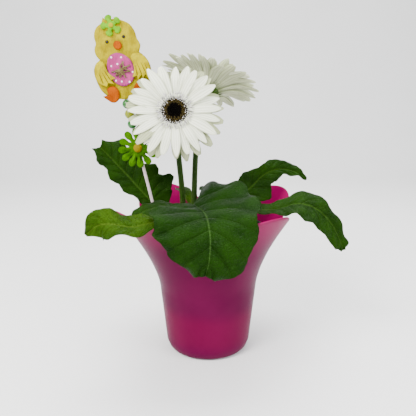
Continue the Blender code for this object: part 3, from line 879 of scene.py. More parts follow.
def fibre_group() -> bpy.types.NodeTree:
    """Builds the group for matted fibres, as in felt and twine.

    Returns:
        A group with Strand and Clump outputs.
    """
    group, sketch, given, result = shader_group("fibres", {"Scale": 500.0}, ("Strand", "Clump"))
    first, *others = (sketch.noise(given["Scale"], turn=turn, squeeze=0.16) for turn in (0.4, 1.5, 2.6))
    for other in others:
        first = sketch.math("MAXIMUM", first, other)
    sketch.feed(sketch.remap(first, 0.45, 0.75), result["Strand"])
    clumps = sketch.noise(sketch.times(given["Scale"], 0.18))
    sketch.feed(sketch.remap(clumps, 0.3, 0.7), result["Clump"])
    return group


MOTTLE = mottle_group()
VEINS = vein_group()
FIBRES = fibre_group()


# Finishes

def new_material(name: str) -> tuple[Material, ShaderSketch, bpy.types.Node]:
    """Starts a material.

    Args:
        name: Its name.

    Returns:
        The material, a sketch on it and its Principled BSDF.
    """
    look = bpy.data.materials.new(name)
    look.use_nodes = True
    return look, ShaderSketch(look.node_tree), look.node_tree.nodes["Principled BSDF"]


@dataclass(frozen=True)
class FrostedPlastic:
    """Thin plastic with a frosted skin, coloured in bands by height. On the outside the darker middle band is painted
    shade where the nursery pot stands inside the wall, and the pale flared top is painted light; on the inside the
    bands grow lighter towards the rim.
    """

    name: str
    foot: Colour
    band: Colour
    behind_shade: Colour
    flare_light: Colour
    edges: tuple[tuple[float, float], ...] = ((0.012, 0.030), (0.044, 0.062), (0.115, 0.158))
    roughness: float = 0.36
    gloss: float = 0.035
    # Emission of the surface colour: painted light, a faint glow that stands in for light through the thin wall.
    glow: float = 0.0
    shine: tuple[float, ...] = (1.0, 0.45, 0.72, 1.0)

    def build(self) -> Material:
        """Builds the finish.

        Returns:
            The material.
        """
        look, sketch, shader = new_material(self.name)
        split = sketch.add("ShaderNodeSeparateXYZ")
        sketch.feed(sketch.add("ShaderNodeTexCoord").outputs["Object"], split.inputs[0])
        height = sketch.plus(split.outputs[2], sketch.times(sketch.noise(14.0), 0.012))
        colour = self.foot
        # Colour bands by height: on the outside the middle band is painted shade and the top band painted light.
        for (low, high), above in zip(self.edges, (self.band, self.behind_shade, self.flare_light)):
            colour = sketch.blend(sketch.remap(height, low, high), colour, above)
        spots = sketch.use(MOTTLE, Patch_scale=26.0, Grain_scale=1500.0)
        colour = sketch.tint(spots["Patch"], 0.12, colour, self.flare_light)
        rough = sketch.remap(spots["Grain"], 0.0, 1.0, self.roughness - 0.05, self.roughness + 0.08)
        sketch.fill(shader, Base_Color=colour, Roughness=rough, Normal=sketch.bump(spots["Grain"], 0.05, 0.0004),
                    Specular_IOR_Level=self.gloss, Specular_Tint=self.shine, Emission_Color=colour,
                    Emission_Strength=self.glow)
        return look


@dataclass(frozen=True)
class LeafFinish:
    """The upper or lower side of a leaf, with paler ribs and a fine net of veins."""

    name: str
    dark: Colour
    light: Colour
    rib: Colour
    veins: float
    lean: float
    roughness: float = 0.44
    net_share: float = 0.06
    rib_width: float = 0.09
    vein_share: float = 0.24
    rib_share: float = 0.6
    grain_share: float = 0.25
    gloss: float = 0.055
    shine: tuple[float, ...] = (0.70, 1.0, 0.50, 1.0)

    def build(self) -> Material:
        """Builds the finish.

        Returns:
            The material.
        """
        look, sketch, shader = new_material(self.name)
        spots = sketch.use(MOTTLE, Patch_scale=45.0, Grain_scale=700.0)
        ribs = sketch.use(VEINS, Veins=self.veins, Lean=self.lean, Rib_width=self.rib_width)
        colour = sketch.blend(spots["Patch"], self.dark, self.light)
        for mask, share, over in ((spots["Grain"], self.grain_share, self.light),
                                  (ribs["Net"], self.net_share, self.rib),
                                  (ribs["Vein"], self.vein_share, self.rib),
                                  (ribs["Rib"], self.rib_share, self.rib)):
            colour = sketch.tint(mask, share, colour, over)
        rough = sketch.remap(spots["Patch"], 0.0, 1.0, self.roughness - 0.07, self.roughness + 0.10)
        relief = sketch.times(ribs["Vein"], -1.0)
        for mask, share in ((ribs["Net"], -0.6), (spots["Patch"], 0.8), (spots["Grain"], 0.25)):
            relief = sketch.plus(relief, sketch.times(mask, share))
        sketch.fill(shader, Base_Color=colour, Roughness=rough, Normal=sketch.bump(relief, 0.8, 0.0011),
                    Specular_IOR_Level=self.gloss, Specular_Tint=self.shine)
        return look


@dataclass(frozen=True)
class PetalFinish:
    """Soft petal: a ground colour, another at the foot, and fine lines along it that also tint its edges. On the rays
    the darker foot, lines and edges are painted shade: at the base, in the grooves and between the rays; the stems,
    bracts and florets use the same bands for their ribs, feet and speckles.
    """

    name: str
    tip: Colour
    foot: Colour
    line_tone_and_shade: Colour
    foot_end: float = 0.35
    lines: float = 25.0
    line_share: float = 0.40
    glow: float = 0.05
    gloss: float = 0.10
    edge_share: float = 0.5

    def build(self) -> Material:
        """Builds the finish.

        Returns:
            The material.
        """
        look, sketch, shader = new_material(self.name)
        place, across = sketch.pattern_place()
        spots = sketch.use(MOTTLE, Patch_scale=90.0, Grain_scale=1200.0)
        # On the rays the darker foot is painted shade at the base.
        ground = sketch.blend(sketch.remap(place, 0.0, self.foot_end), self.foot, self.tip)
        wander = sketch.plus(across, sketch.times(spots["Patch"], 0.03))
        lines = sketch.remap(sketch.math("SINE", sketch.times(wander, self.lines)), 0.2, 1.0)
        # On the rays the darker lines are painted shade in the grooves.
        groove_tone_and_shade = sketch.tint(lines, self.line_share, ground, self.line_tone_and_shade)
        # On the rays the darker edges are painted shade between the rays.
        edge = sketch.remap(sketch.off_middle(across), 0.62, 1.0)
        relief = sketch.plus(sketch.times(lines, -1.0), sketch.times(spots["Grain"], 0.2))
        sketch.fill(shader, Base_Color=sketch.tint(edge, self.edge_share, groove_tone_and_shade, self.line_tone_and_shade),
                    Roughness=sketch.remap(spots["Grain"], 0.0, 1.0, 0.50, 0.62),
                    Normal=sketch.bump(relief, 0.35, 0.0003), Specular_IOR_Level=self.gloss,
                    Subsurface_Weight=self.glow, Subsurface_Radius=(0.002, 0.002, 0.0015), Subsurface_Scale=1.0)
        return look


@dataclass(frozen=True)
class FeltFinish:
    """Matted wool felt."""

    name: str
    colour: Colour
    shade: Colour
    scale: float = 620.0

    def build(self) -> Material:
        """Builds the finish.

        Returns:
            The material.
        """
        look, sketch, shader = new_material(self.name)
        wool = sketch.use(FIBRES, Scale=self.scale)
        ground = sketch.blend(wool["Clump"], self.shade, self.colour)
        pale = tuple(min(1.0, c * 1.15) for c in self.colour)
        sketch.fill(shader, Base_Color=sketch.tint(wool["Strand"], 0.45, ground, pale),
                    Roughness=sketch.remap(wool["Strand"], 0.0, 1.0, 0.98, 0.85),
                    Normal=sketch.bump(sketch.plus(wool["Strand"], wool["Clump"]), 0.6, 0.0005),
                    Specular_IOR_Level=0.03)
        return look


@dataclass(frozen=True)
class GrainFinish:
    """A plain body colour with patches and grain: soil, wood, plastic and beads."""

    name: str
    dark: Colour
    light: Colour
    roughness: float
    patch_scale: float = 60.0
    grain_scale: float = 900.0
    relief: float = 0.2
    depth: float = 0.0004
    coat: float = 0.0
    gloss: float = 0.2

    def build(self) -> Material:
        """Builds the finish.

        Returns:
            The material.
        """
        look, sketch, shader = new_material(self.name)
        spots = sketch.use(MOTTLE, Patch_scale=self.patch_scale, Grain_scale=self.grain_scale)
        share = sketch.plus(sketch.times(spots["Patch"], 0.6), sketch.times(spots["Grain"], 0.4))
        low, high = max(self.roughness - 0.06, 0.02), min(self.roughness + 0.08, 1.0)
        sketch.fill(shader, Base_Color=sketch.blend(share, self.dark, self.light),
                    Roughness=sketch.remap(spots["Grain"], 0.0, 1.0, low, high),
                    Normal=sketch.bump(spots["Grain"], self.relief, self.depth),
                    Specular_IOR_Level=self.gloss, Coat_Weight=self.coat, Coat_Roughness=0.08)
        return look


FINISHES = (
    # The outside: its middle band is painted shade where the nursery pot stands inside the wall, its top band painted
    # light.
    FrostedPlastic("pot_outside", (0.080, 0.0016, 0.030), (0.096, 0.0014, 0.028), (0.068, 0.0020, 0.026),
                   (0.165, 0.012, 0.056)),
    # The inside glows faintly: painted light that stands in for light through the thin wall.
    FrostedPlastic("pot_inside", (0.120, 0.0004, 0.032), (0.140, 0.0004, 0.038), (0.180, 0.0005, 0.050),
                   (0.205, 0.0006, 0.058), gloss=0.0, glow=0.03),
    GrainFinish("nursery_plastic", (0.006, 0.004, 0.004), (0.012, 0.008, 0.008), 0.5, gloss=0.1),
    GrainFinish("peat", (0.005, 0.0025, 0.001), (0.035, 0.015, 0.005), 0.95, 140.0, 900.0, 0.7, 0.001, gloss=0.03),
    GrainFinish("perlite", (0.40, 0.38, 0.32), (0.65, 0.63, 0.56), 0.8, 300.0, 2000.0),
    LeafFinish("leaf_top", (0.0026, 0.0135, 0.0003), (0.0085, 0.0320, 0.0009), (0.036, 0.080, 0.010), 9.0, 1.6),
    LeafFinish("leaf_top_front", (0.0014, 0.0110, 0.0002), (0.0055, 0.0250, 0.0006), (0.040, 0.088, 0.018),
               7.0, 1.5, rib_width=0.024, vein_share=0.10),
    LeafFinish("leaf_top_young", (0.0075, 0.028, 0.0004), (0.030, 0.070, 0.002), (0.060, 0.105, 0.010), 8.0, 1.6),
    LeafFinish("leaf_under", (0.018, 0.040, 0.004), (0.034, 0.066, 0.009), (0.10, 0.15, 0.035), 9.0, 1.6, 0.6, 0.20),
    GrainFinish("stalk_green", (0.014, 0.040, 0.002), (0.036, 0.076, 0.006), 0.5, 90.0, gloss=0.1),
    PetalFinish("stem_green", (0.0095, 0.030, 0.0012), (0.007, 0.020, 0.001), (0.034, 0.070, 0.005), 0.3, 31.4,
                0.45, 0.0),
    PetalFinish("bract_green", (0.034, 0.075, 0.008), (0.012, 0.036, 0.003), (0.07, 0.11, 0.02), 0.5, 20.0, 0.3,
                0.0),
    GrainFinish("down_white", (0.10, 0.14, 0.05), (0.20, 0.25, 0.12), 0.8),
    # Ray finishes: the darker foot, lines and edges are painted shade. The next three are darker copies of the white
    # rays for the layers in shade: painted shade, the last of them also the rays' underside.
    PetalFinish("ray_white", (0.80, 0.82, 0.66), (0.34, 0.38, 0.18), (0.36, 0.40, 0.22)),
    PetalFinish("ray_shade", (0.40, 0.43, 0.26), (0.13, 0.17, 0.05), (0.16, 0.19, 0.07)),
    PetalFinish("ray_ivory", (0.62, 0.65, 0.46), (0.22, 0.26, 0.10), (0.20, 0.24, 0.10)),
    PetalFinish("ray_underside", (0.48, 0.51, 0.33), (0.16, 0.20, 0.07), (0.15, 0.18, 0.07)),
    PetalFinish("ring_floret", (0.88, 0.86, 0.82), (0.002, 0.001, 0.0015), (0.10, 0.07, 0.06), 1.25, 12.0, 0.3,
                0.0, edge_share=0.2),
    PetalFinish("brown_bud", (0.060, 0.042, 0.008), (0.003, 0.002, 0.001), (0.13, 0.10, 0.035), 0.9, 6.0, 0.3,
                0.0, edge_share=0.0),
    PetalFinish("dark_bud", (0.0010, 0.0008, 0.0007), (0.0005, 0.0004, 0.0004), (0.004, 0.0025, 0.002), 0.5, 6.0,
                0.2, 0.0, 0.02),
    FeltFinish("yellow_felt", (0.35, 0.287, 0.0001), (0.20, 0.152, 0.0001)),
    # The wings: the body's yellow felt painted lighter so they stand out as lit against the body.
    FeltFinish("wing_felt", (0.42, 0.352, 0.0001), (0.24, 0.188, 0.0001)),
    FeltFinish("feather_shade", (0.12, 0.080, 0.0003), (0.07, 0.043, 0.0002)),
    FeltFinish("orange_felt", (0.32, 0.064, 0.0005), (0.21, 0.034, 0.0004)),
    FeltFinish("green_felt", (0.046, 0.145, 0.0004), (0.016, 0.062, 0.0003)),
    FeltFinish("chick_green_felt", (0.145, 0.37, 0.001), (0.075, 0.22, 0.0008)),
    FeltFinish("pink_felt", (0.37, 0.050, 0.18), (0.25, 0.028, 0.11)),
    FeltFinish("white_print", (0.85, 0.72, 0.78), (0.70, 0.56, 0.62)),
    FeltFinish("twine", (0.20, 0.15, 0.065), (0.070, 0.048, 0.020), 900.0),
    GrainFinish("white_stick", (0.38, 0.31, 0.31), (0.60, 0.51, 0.50), 0.55, 220.0, 1500.0),
    GrainFinish("green_bead", (0.012, 0.085, 0.015), (0.03, 0.15, 0.03), 0.22, 300.0, 900.0, 0.02, coat=0.35),
    GrainFinish("yellow_bead", (0.13, 0.15, 0.001), (0.22, 0.25, 0.002), 0.30, 300.0, 900.0, 0.02, coat=0.35),
    GrainFinish("ochre_button", (0.13, 0.085, 0.0002), (0.24, 0.175, 0.0003), 0.6, 300.0, 1500.0, 0.4, gloss=0.1),
    GrainFinish("black_bead", (0.001, 0.001, 0.001), (0.003, 0.0025, 0.0025), 0.15, 200.0, 900.0, 0.02, coat=0.3),
)
LOOKS = {finish.name: finish.build() for finish in FINISHES}


# The pot and what stands in it

@dataclass
class CoverPot:
    """The flared cover pot with its lobed rim."""

    base_radius: float = 41.5
    foot_round: float = 8.0
    foot_share: float = 0.08
    wall: float = 2.0
    lobes: int = 4
    lobe_turn: float = math.radians(37.0)
    lobe_sharpness: float = 0.6
    valley: tuple[float, float] = (67.0, 125.0)
    tip: tuple[float, float] = (98.0, 155.0)
    valley_power: float = 1.5
    tip_power: float = 1.45
    slope: float = 0.105
    flare_start: float = 65.0
    sides: int = 160
    rows: int = 56

    def lobe_weight(self, angle: float) -> float:
        """Returns 1 at a lobe's tip and 0 in a valley."""
        return (0.5 + 0.5 * math.cos(self.lobes * (angle - self.lobe_turn))) ** self.lobe_sharpness

    def radius(self, angle: float, height: float) -> float:
        """Works out the outside radius.

        Args:
            angle: The angle.
            height: The height.

        Returns:
            The radius.
        """
        if height <= self.flare_start:
            return self.base_radius + self.slope * height
        start = self.base_radius + self.slope * self.flare_start
        rise = height - self.flare_start
        lobe = (self.tip[0] - start) * (rise / (self.tip[1] - self.flare_start)) ** self.tip_power
        valley = (self.valley[0] - start) * (rise / (self.valley[1] - self.flare_start)) ** self.valley_power
        weight = self.lobe_weight(angle)
        return start + weight * lobe + (1 - weight) * valley

    def rim(self, angle: float) -> float:
        """Returns the height of the rim at an angle."""
        return self.valley[1] + (self.tip[1] - self.valley[1]) * self.lobe_weight(angle)

    def outside(self, angle: float, share: float) -> Vector:
        """Finds a point of the outside.

        Args:
            angle: The angle.
            share: The place from the foot's edge at 0 to the rim at 1.

        Returns:
            The point.
        """
        if share < self.foot_share:
            turn = share / self.foot_share * math.pi / 2
            flat = self.base_radius - self.foot_round
            radius = flat + self.foot_round * math.sin(turn)
            return polar(radius, angle, self.foot_round * (1 - math.cos(turn)))
        rise = self.rim(angle) - self.foot_round
        height = self.foot_round + rise * (share - self.foot_share) / (1 - self.foot_share)
        return polar(self.radius(angle, height), angle, height)

    def normal(self, angle: float, share: float) -> Vector:
        """Finds the outward direction at a point of the outside.

        Args:
            angle: The angle.
            share: The place from the foot to the rim.

        Returns:
            The direction.
        """
        step = 0.002
        up = self.outside(angle, min(share + step, 1.0)) - self.outside(angle, max(share - step, 0.0))
        around = self.outside(angle + step, share) - self.outside(angle - step, share)
        return around.cross(up).normalized()

    def rim_point(self, angle: float, turn: float) -> Vector:
        """Finds a point of the rounded rim.

        Args:
            angle: The angle.
            turn: The turn from its outer side at 0 over the top to its inner side.

        Returns:
            The point.
        """
        middle = self.wall / 2
        out = self.normal(angle, 1.0)
        up = (self.outside(angle, 1.0) - self.outside(angle, 0.98)).normalized()
        centre = self.outside(angle, 1.0) - out * middle - up * middle
        return centre + (out * math.cos(turn) + up * math.sin(turn)) * middle

    def build(self) -> None:
        """Builds the pot as one closed wall with a rounded rim."""
        sketch = Sketch()
        angles = turns(self.sides)
        shares = [k / self.rows for k in range(self.rows + 1)]
        flat = self.base_radius - self.foot_round
        starts = [sketch.circle(flat * share, 0, self.sides) for share in (0.35, 0.8)]
        starts += [sketch.ring([self.outside(a, s) for a in angles]) for s in shares[:-1]]
        starts += [sketch.ring([self.rim_point(a, math.radians(swing)) for a in angles])
                   for swing in (0, 45, 90, 135, 180)]
        edge = len(starts) - 3
        starts += [sketch.ring([self.outside(a, s) - self.normal(a, s) * self.wall for a in angles])
                   for s in reversed(shares[1:-1])]
        starts += [sketch.circle(flat * share, self.wall, self.sides) for share in (0.8, 0.35)]
        sketch.loft(starts, self.sides, lambda row, i: int(row >= edge))
        sketch.slots[-1] = 1
        keep("cover_pot_wall", sketch.mesh("cover_pot_wall"), ("pot_outside", "pot_inside"), "pot_plastic", "cover_pot")


@dataclass
class Soil:
    """The peat in the nursery pot, mounded up to the crown, with crumbs and grains of perlite."""

    edge_height: float = 120.0
    edge_radius: float = 50.4
    bare_edge: float = 2.5
    bottom: float = 25.7
    bottom_radius: float = 38.8
    mound: float = 25.0
    mound_radius: float = 21.0
    crown: tuple[float, float] = (-14.0, 0.0)

    def surface(self, x: float, y: float) -> float:
        """Works out the height of the soil.

        Args:
            x: The place to the right.
            y: The place to the back.

        Returns:
            The height.
        """
        away = math.hypot(x - self.crown[0], y - self.crown[1]) / self.mound_radius
        reach = math.hypot(x, y) / self.edge_radius
        rise = self.mound * math.exp(-away * away) * max(1 - reach ** 6, 0.0)
        rough = noise.fractal(Vector((x, y, 3.0)) * 0.16, 0.7, 2.1, 5)
        return self.edge_height + rise + 1.5 * rough * (1 - reach ** 8)

    def rings(self, sketch: Sketch, radii: Sequence[float], sides: int) -> list[int]:
        """Adds rings on the surface.

        Args:
            sketch: Takes the rings.
            radii: Their radii.
            sides: Points of each.

        Returns:
            The indices of their first points.
        """
        starts = []
        for radius in radii:
            places = [(radius * math.cos(a), radius * math.sin(a)) for a in turns(sides)]
            starts.append(sketch.ring([Vector((x, y, self.surface(x, y))) for x, y in places]))
        return starts

    def body(self, sides: int = 96, rows: int = 34) -> Mesh:
        """Makes the soil's own mesh, uneven on top.

        Args:
            sides: Points of a ring.
            rows: Rings on top.

        Returns:
            The mesh.
        """
        sketch = Sketch()
        starts = [sketch.circle(radius, height, sides) for radius, height in (
            (self.bottom_radius * 0.5, self.bottom), (self.bottom_radius, self.bottom),
            (self.edge_radius, self.edge_height))]
        starts += self.rings(sketch, [self.edge_radius * k / rows for k in range(rows - 1, 0, -1)], sides)
        sketch.loft(starts, sides)
        return sketch.mesh("soil_body")

    def top(self, sides: int = 48, rows: int = 16) -> Mesh:
        """Makes the upper skin alone, for strewing crumbs on it.

        Args:
            sides: Points of a ring.
            rows: Rings.

        Returns:
            The mesh.
        """
        sketch = Sketch()
        radii = [(self.edge_radius - self.bare_edge) * k / rows for k in range(rows, 0, -1)]
        sketch.loft(self.rings(sketch, radii, sides), sides, ends=False)
        return sketch.mesh("soil_top")

    @staticmethod
    def crumb(name: str, size: float, seed: int) -> Mesh:
        """Makes a small uneven lump.

        Args:
            name: The mesh's name.
            size: Its radius.
            seed: Varies its shape.

        Returns:
            The mesh.
        """
        shape = bmesh.new()
        bmesh.ops.create_icosphere(shape, subdivisions=1, radius=size * MM)
        for vertex in shape.verts:
            vertex.co *= 1 + 0.45 * noise.noise(vertex.co / MM * 0.9 + Vector((seed, 0, 0)))
        return finished(name, shape)

    @staticmethod
    def fibre(name: str, length: float) -> Mesh:
        """Makes a short bent peat fibre that lies on its side.

        Args:
            name: The mesh's name.
            length: Its length.

        Returns:
            The mesh.
        """
        sketch = Sketch()
        centres = [Vector((length * (k / 4 - 0.5), 0.12 * length * math.sin(k * 1.1), 0.25 + 0.2 * (k % 2)))
                   for k in range(5)]
        sketch.tube(centres, [0.12, 0.2, 0.22, 0.18, 0.08], 4)
        return sketch.mesh(name)

    def build(self) -> None:
        """Builds the soil, its crumbs and its perlite."""
        keep("soil_body", self.body(), ("peat",), "soil", "soil")
        strewn = (SOIL_CRUMBS.grow(self.top(), self.crumb("crumb", 1.5, 3), 5, "peat"),
                  PEAT_FIBRES.grow(self.top(), self.fibre("fibre", 9.0), 8, "peat"))
        keep("soil_crumbs", merged("soil_crumbs", strewn), ("peat",), "soil")
        grains = PERLITE.grow(self.top(), self.crumb("perlite", 1.4, 9), 11, "perlite")
        keep("soil_perlite", grains, ("perlite",), "soil")


# Leaves

@dataclass
class Leaf:
    """A leaf with its stalk, on the same spine as its solid, with ribs, ruffles and a toothed edge."""

    name: str
    spine: Sequence[Point]
    blade_start: float
    left: Sequence[float]
    right: Sequence[float]
    roll: Sequence[float] = (0, 0)
    fold_left: Sequence[float] = (10, 4)
    fold_right: Sequence[float] = (10, 4)
    sweep: Sequence[float] = (6, 0, 0)
    teeth: float = 5
    tooth: float = 0.08
    stalk: float = 2.3
    veins: float = 9.0
    lean: float = 1.6
    ruffle: float = 1.6
    quilt: float = 0.9
    seed: float = 0.0
    top: str = "leaf_top"
    columns: int = 25
    blade_rings: int = 84
    stalk_rings: int = 16

    def frame(self, t: float) -> tuple[Vector, Vector, Vector, Vector]:
        """Finds a point of the spine and its directions.

        Args:
            t: The place along the spine, from 0 to 1.

        Returns:
            The point, the way along the spine, the way to the right and the way up.
        """
        step = 0.01
        centre = stem_curve(self.spine, t)
        ahead = stem_curve(self.spine, min(t + step, 1.0)) - stem_curve(self.spine, max(t - step, 0.0))
        ahead.normalize()
        heading = Vector(self.spine[-1]) - Vector(self.spine[1])
        level = Vector((heading.x, heading.y, 0)).cross(Vector((0, 0, 1))).normalized()
        side = (level - ahead * level.dot(ahead)).normalized()
        return centre, ahead, side, side.cross(ahead)

    def stalk_ring(self, t: float) -> list[Vector]:
        """Works out one ring of the stalk, with a shallow groove along its top.

        Args:
            t: The place along the spine, from 0 to 1.

        Returns:
            The ring's points.
        """
        centre, _, side, up = self.frame(t)
        upper, lower = [], []
        for k in range(self.columns):
            angle = math.radians(172 - 164 * k / (self.columns - 1))
            groove = 1 - 0.30 * math.exp(-((angle - math.pi / 2) / 0.35) ** 2)
            across = side * math.cos(angle) * self.stalk
            upper.append(centre + across + up * math.sin(angle) * self.stalk * groove)
            lower.append(centre + across - up * math.sin(angle) * self.stalk)
        return upper + lower[::-1]

    def relief(self, s: float, q: float, width: float) -> float:
        """Works out how far the blade's face stands off its plain form.

        Args:
            s: The place along the blade, from 0 to 1.
            q: The place across it, from -1 to 1.
            width: Its half-width there.

        Returns:
            The distance in millimetres.
        """
        out = abs(q)
        phase = s * self.veins - self.lean * out ** 0.8
        near = abs(2 * (phase - math.floor(phase)) - 1)
        pillow = (1 - near ** 3) * math.sin(math.pi * min(out * 1.02, 1.0)) ** 0.6
        swing = 2 * math.pi * self.teeth * 1.15 * s + (1.3 if q > 0 else 0.2) + self.seed
        lobe = self.ruffle * out ** 3 * math.sin(swing)
        groove = 0.9 * math.exp(-(out * width / 1.6) ** 2)
        return self.quilt * pillow + lobe * smooth_step(s * 6) - groove

    def blade_ring(self, t: float) -> tuple[list[Vector], list[tuple[float, float]]]:
        """Works out one closed ring of the blade.

        Args:
            t: The place along the spine, from 0 to 1.

        Returns:
            The ring's points and its pattern places.
        """
        centre, ahead, side, up = self.frame(t)
        s = (t - self.blade_start) / (1 - self.blade_start)
        roll = math.radians(along(self.roll, s))
        right = side * math.cos(roll) + up * math.sin(roll)
        above = up * math.cos(roll) - side * math.sin(roll)
        big = math.sin(2 * math.pi * self.teeth * s)
        small = 0.35 * abs(math.sin(2 * math.pi * self.teeth * 1.7 * s + self.seed))
        wave = 1 + self.tooth * (big + small)
        fade = smooth_step(s * 8)
        upper, lower, places = [], [], []
        for k in range(self.columns):
            q = 2 * k / (self.columns - 1) - 1
            plain = max(along(self.right if q > 0 else self.left, s), 0.8)
            width = plain * (1 + (wave - 1) * smooth_step((abs(q) - 0.55) / 0.45))
            fold = math.radians(along(self.fold_right if q > 0 else self.fold_left, s))
            out = abs(q) * width
            rib = 1.7 * math.exp(-(out / 2.2) ** 2) * (1 - s) ** 0.7
            place = centre + right * math.copysign(out * math.cos(fold), q) + above * out * math.sin(fold)
            place -= ahead * along(self.sweep, s) * q * q
            place += above * self.relief(s, q, width) * fade
            skin = 0.30 * (1 - 0.6 * q * q)
            upper.append(place + above * skin)
            lower.append(place - above * (skin + rib))
            places.append((s, q * 0.5 + 0.5))
        return upper + lower[::-1], places + places[::-1]

    def build(self) -> None:
        """Builds the leaf."""
        sketch = Sketch()
        starts = [sketch.ring(self.stalk_ring(self.blade_start * k / self.stalk_rings))
                  for k in range(self.stalk_rings)]
        for k in range(self.blade_rings + 1):
            t = self.blade_start + (1 - self.blade_start) * k / self.blade_rings
            starts.append(sketch.ring(*self.blade_ring(t)))
        sketch.loft(starts, 2 * self.columns, self.finish)
        mesh = sketch.mesh(self.name + "_blade")
        keep(self.name + "_blade", mesh, (self.top, "leaf_under", "stalk_green"), "leaf", self.name)

    def finish(self, row: int, i: int) -> int:
        """Returns the finish of a quad: 0 above, 1 below, 2 on the stalk."""
        return 2 if row < self.stalk_rings else int(i >= self.columns - 1)


LEAVES = (
    Leaf("leaf_front", [(-9, -14, 112), (-10.5, -15, 136), (-15, -17, 152), (-9, -34, 155), (-3, -55, 155),
                        (0, -77, 153), (2, -92, 142), (1, -99, 126), (-2, -101, 113)], 0.26,
         left=(14, 34, 44, 46, 46, 42, 37, 32, 24, 9), right=(3, 10, 26, 40, 47, 48, 44, 36, 24, 9),
         fold_left=(50, 30, 18, 12, 8, 4, 0), fold_right=(0, 3, 8, 9, 7, 2, 0), sweep=(22, 10, 4, 0, -2, -3),
         teeth=5, tooth=0.05, stalk=2.6, veins=7.0, lean=1.5, ruffle=2.4, quilt=2.3, top="leaf_top_front",
         columns=61, blade_rings=120),
    Leaf("leaf_front_left", [(-20, -12, 112), (-22, -13, 136), (-29, -19, 151), (-38, -31, 157),
                             (-48, -44, 157.5), (-58, -54, 156), (-66, -62, 151)], 0.34,
         left=(3, 8, 13, 16, 14, 5), right=(3, 8, 10, 10, 8, 4), fold_left=(-4, -6), fold_right=(14, 6),
         teeth=3, tooth=0.05, veins=7.0, ruffle=0.8, quilt=0.6, seed=0.4),
    Leaf("leaf_left", [(-29, -7, 112), (-31, -12, 134), (-35, -32, 145), (-41, -56, 150), (-48, -76, 152.5),
                       (-63, -85, 151), (-80, -87, 154), (-92, -86, 152), (-102, -86, 144)], 0.42,
         left=(6, 9, 11, 13, 14, 14, 9, 2), right=(12, 14, 15, 14, 14, 14, 9, 2), roll=(12, 20, 38, 50, 55),
         fold_left=(0, 0), fold_right=(0, 0), teeth=4, tooth=0.06, veins=8.0, ruffle=1.2, quilt=1.0, seed=1.1,
         top="leaf_top_young"),
    Leaf("leaf_back_left", [(-28, 12, 112), (-31, 14, 134), (-43, 15, 143), (-56, 15, 148), (-68, 18, 159),
                            (-81, 22, 173), (-96, 27, 188), (-110, 31, 202)], 0.40,
         left=(3, 7, 8, 11, 14, 12, 11, 7), right=(3, 26, 30, 26, 22, 22, 18, 6),
         roll=(62, 66, 66, 64, 60), fold_left=(4, 0), fold_right=(8, 4), sweep=(14, 6, 0, -4), teeth=5,
         tooth=0.13, veins=9.0, ruffle=1.8, quilt=1.5, seed=2.0),
    Leaf("leaf_right_back", [(1, 5, 112), (4, 7, 136), (16, 13, 147), (30, 20, 152), (44, 27, 161),
                             (58, 33, 173), (74, 38, 178), (90, 41, 175), (104, 43, 167)], 0.34,
         left=(3, 15, 14, 11, 10, 9, 6, 2), right=(3, 13, 19, 15, 9, 7, 5, 2), roll=(-50, -60, -60, -50, -45),
         fold_left=(12, 8), fold_right=(8, 4), teeth=4, tooth=0.16, veins=9.0, quilt=1.3, seed=0.7),
    Leaf("leaf_right_front", [(3, -6, 112), (7, -8, 138), (22, -12, 147), (44, -16, 148), (66, -20, 150),
                              (84, -24, 156), (101, -27, 152), (116, -29, 138), (126, -30, 119),
                              (128, -30, 112)], 0.36,
         left=(8, 11, 14, 17, 14, 10, 8, 6, 3), right=(9, 14, 18, 22, 20, 16, 12, 8, 3),
         roll=(-12, -16, -28, -42, -52, -58), fold_left=(8, 2), fold_right=(8, 2), teeth=5, tooth=0.07,
         veins=11.0, ruffle=1.6, quilt=1.3, seed=1.6),
    Leaf("leaf_back", [(-4, 14, 112), (-3, 18, 136), (2, 32, 147), (7, 50, 151), (11, 68, 149), (14, 84, 138),
                       (15, 94, 122)], 0.34,
         left=(3, 14, 17, 16, 12, 2), right=(3, 14, 17, 16, 12, 2), teeth=4, tooth=0.10, seed=2.6),
    Leaf("leaf_young", [(-15, 15, 112), (-16, 18, 136), (-20, 25, 149), (-26, 34, 155), (-32, 44, 156)], 0.42,
         left=(2, 5, 8, 7, 2), right=(2, 5, 8, 7, 2), fold_left=(25, 15), fold_right=(25, 15), teeth=2,
         tooth=0.05, stalk=1.9, ruffle=0.6, quilt=0.4, seed=0.9, top="leaf_top_young"),
)


# Blooms

@dataclass(frozen=True)
class RayLayer:
    """One layer of rays: how many, how long and wide, and how they stand."""

    count: int
    length: float
    width: float
    height: float
    rise: float
    start: float
    seed: int
    spread: float = 5.5
    droop: float = 5.0
    root: float = 8.5
    roll: float = 0.16
    cup: float = 0.16
@dataclass(frozen=True)
class DiscZone:
    """A zone of florets on the disc: how many, and from its inner to its outer side how they stand."""

    count: int
    radii: tuple[float, float]
    heights: tuple[float, float]
    leans: tuple[float, float]
    lean_spread: float
    size_spread: float
    seed: int

    def grow(self, floret: Mesh, look: str) -> Mesh:
        """Sets a floret in a spiral over the zone.

        Args:
            floret: One floret.
            look: Its finish.

        Returns:
            A mesh of all the florets.
        """
        return SPIRAL.grow(
            bpy.data.meshes.new("none"), Floret=helper_object(floret), Count=self.count,
            Inner_radius=self.radii[0] * MM, Outer_radius=self.radii[1] * MM,
            Inner_height=self.heights[0] * MM, Outer_height=self.heights[1] * MM,
            Inner_lean=self.leans[0], Outer_lean=self.leans[1], Lean_spread=self.lean_spread,
            Size_spread=self.size_spread, Seed=self.seed, Finish=LOOKS[look])


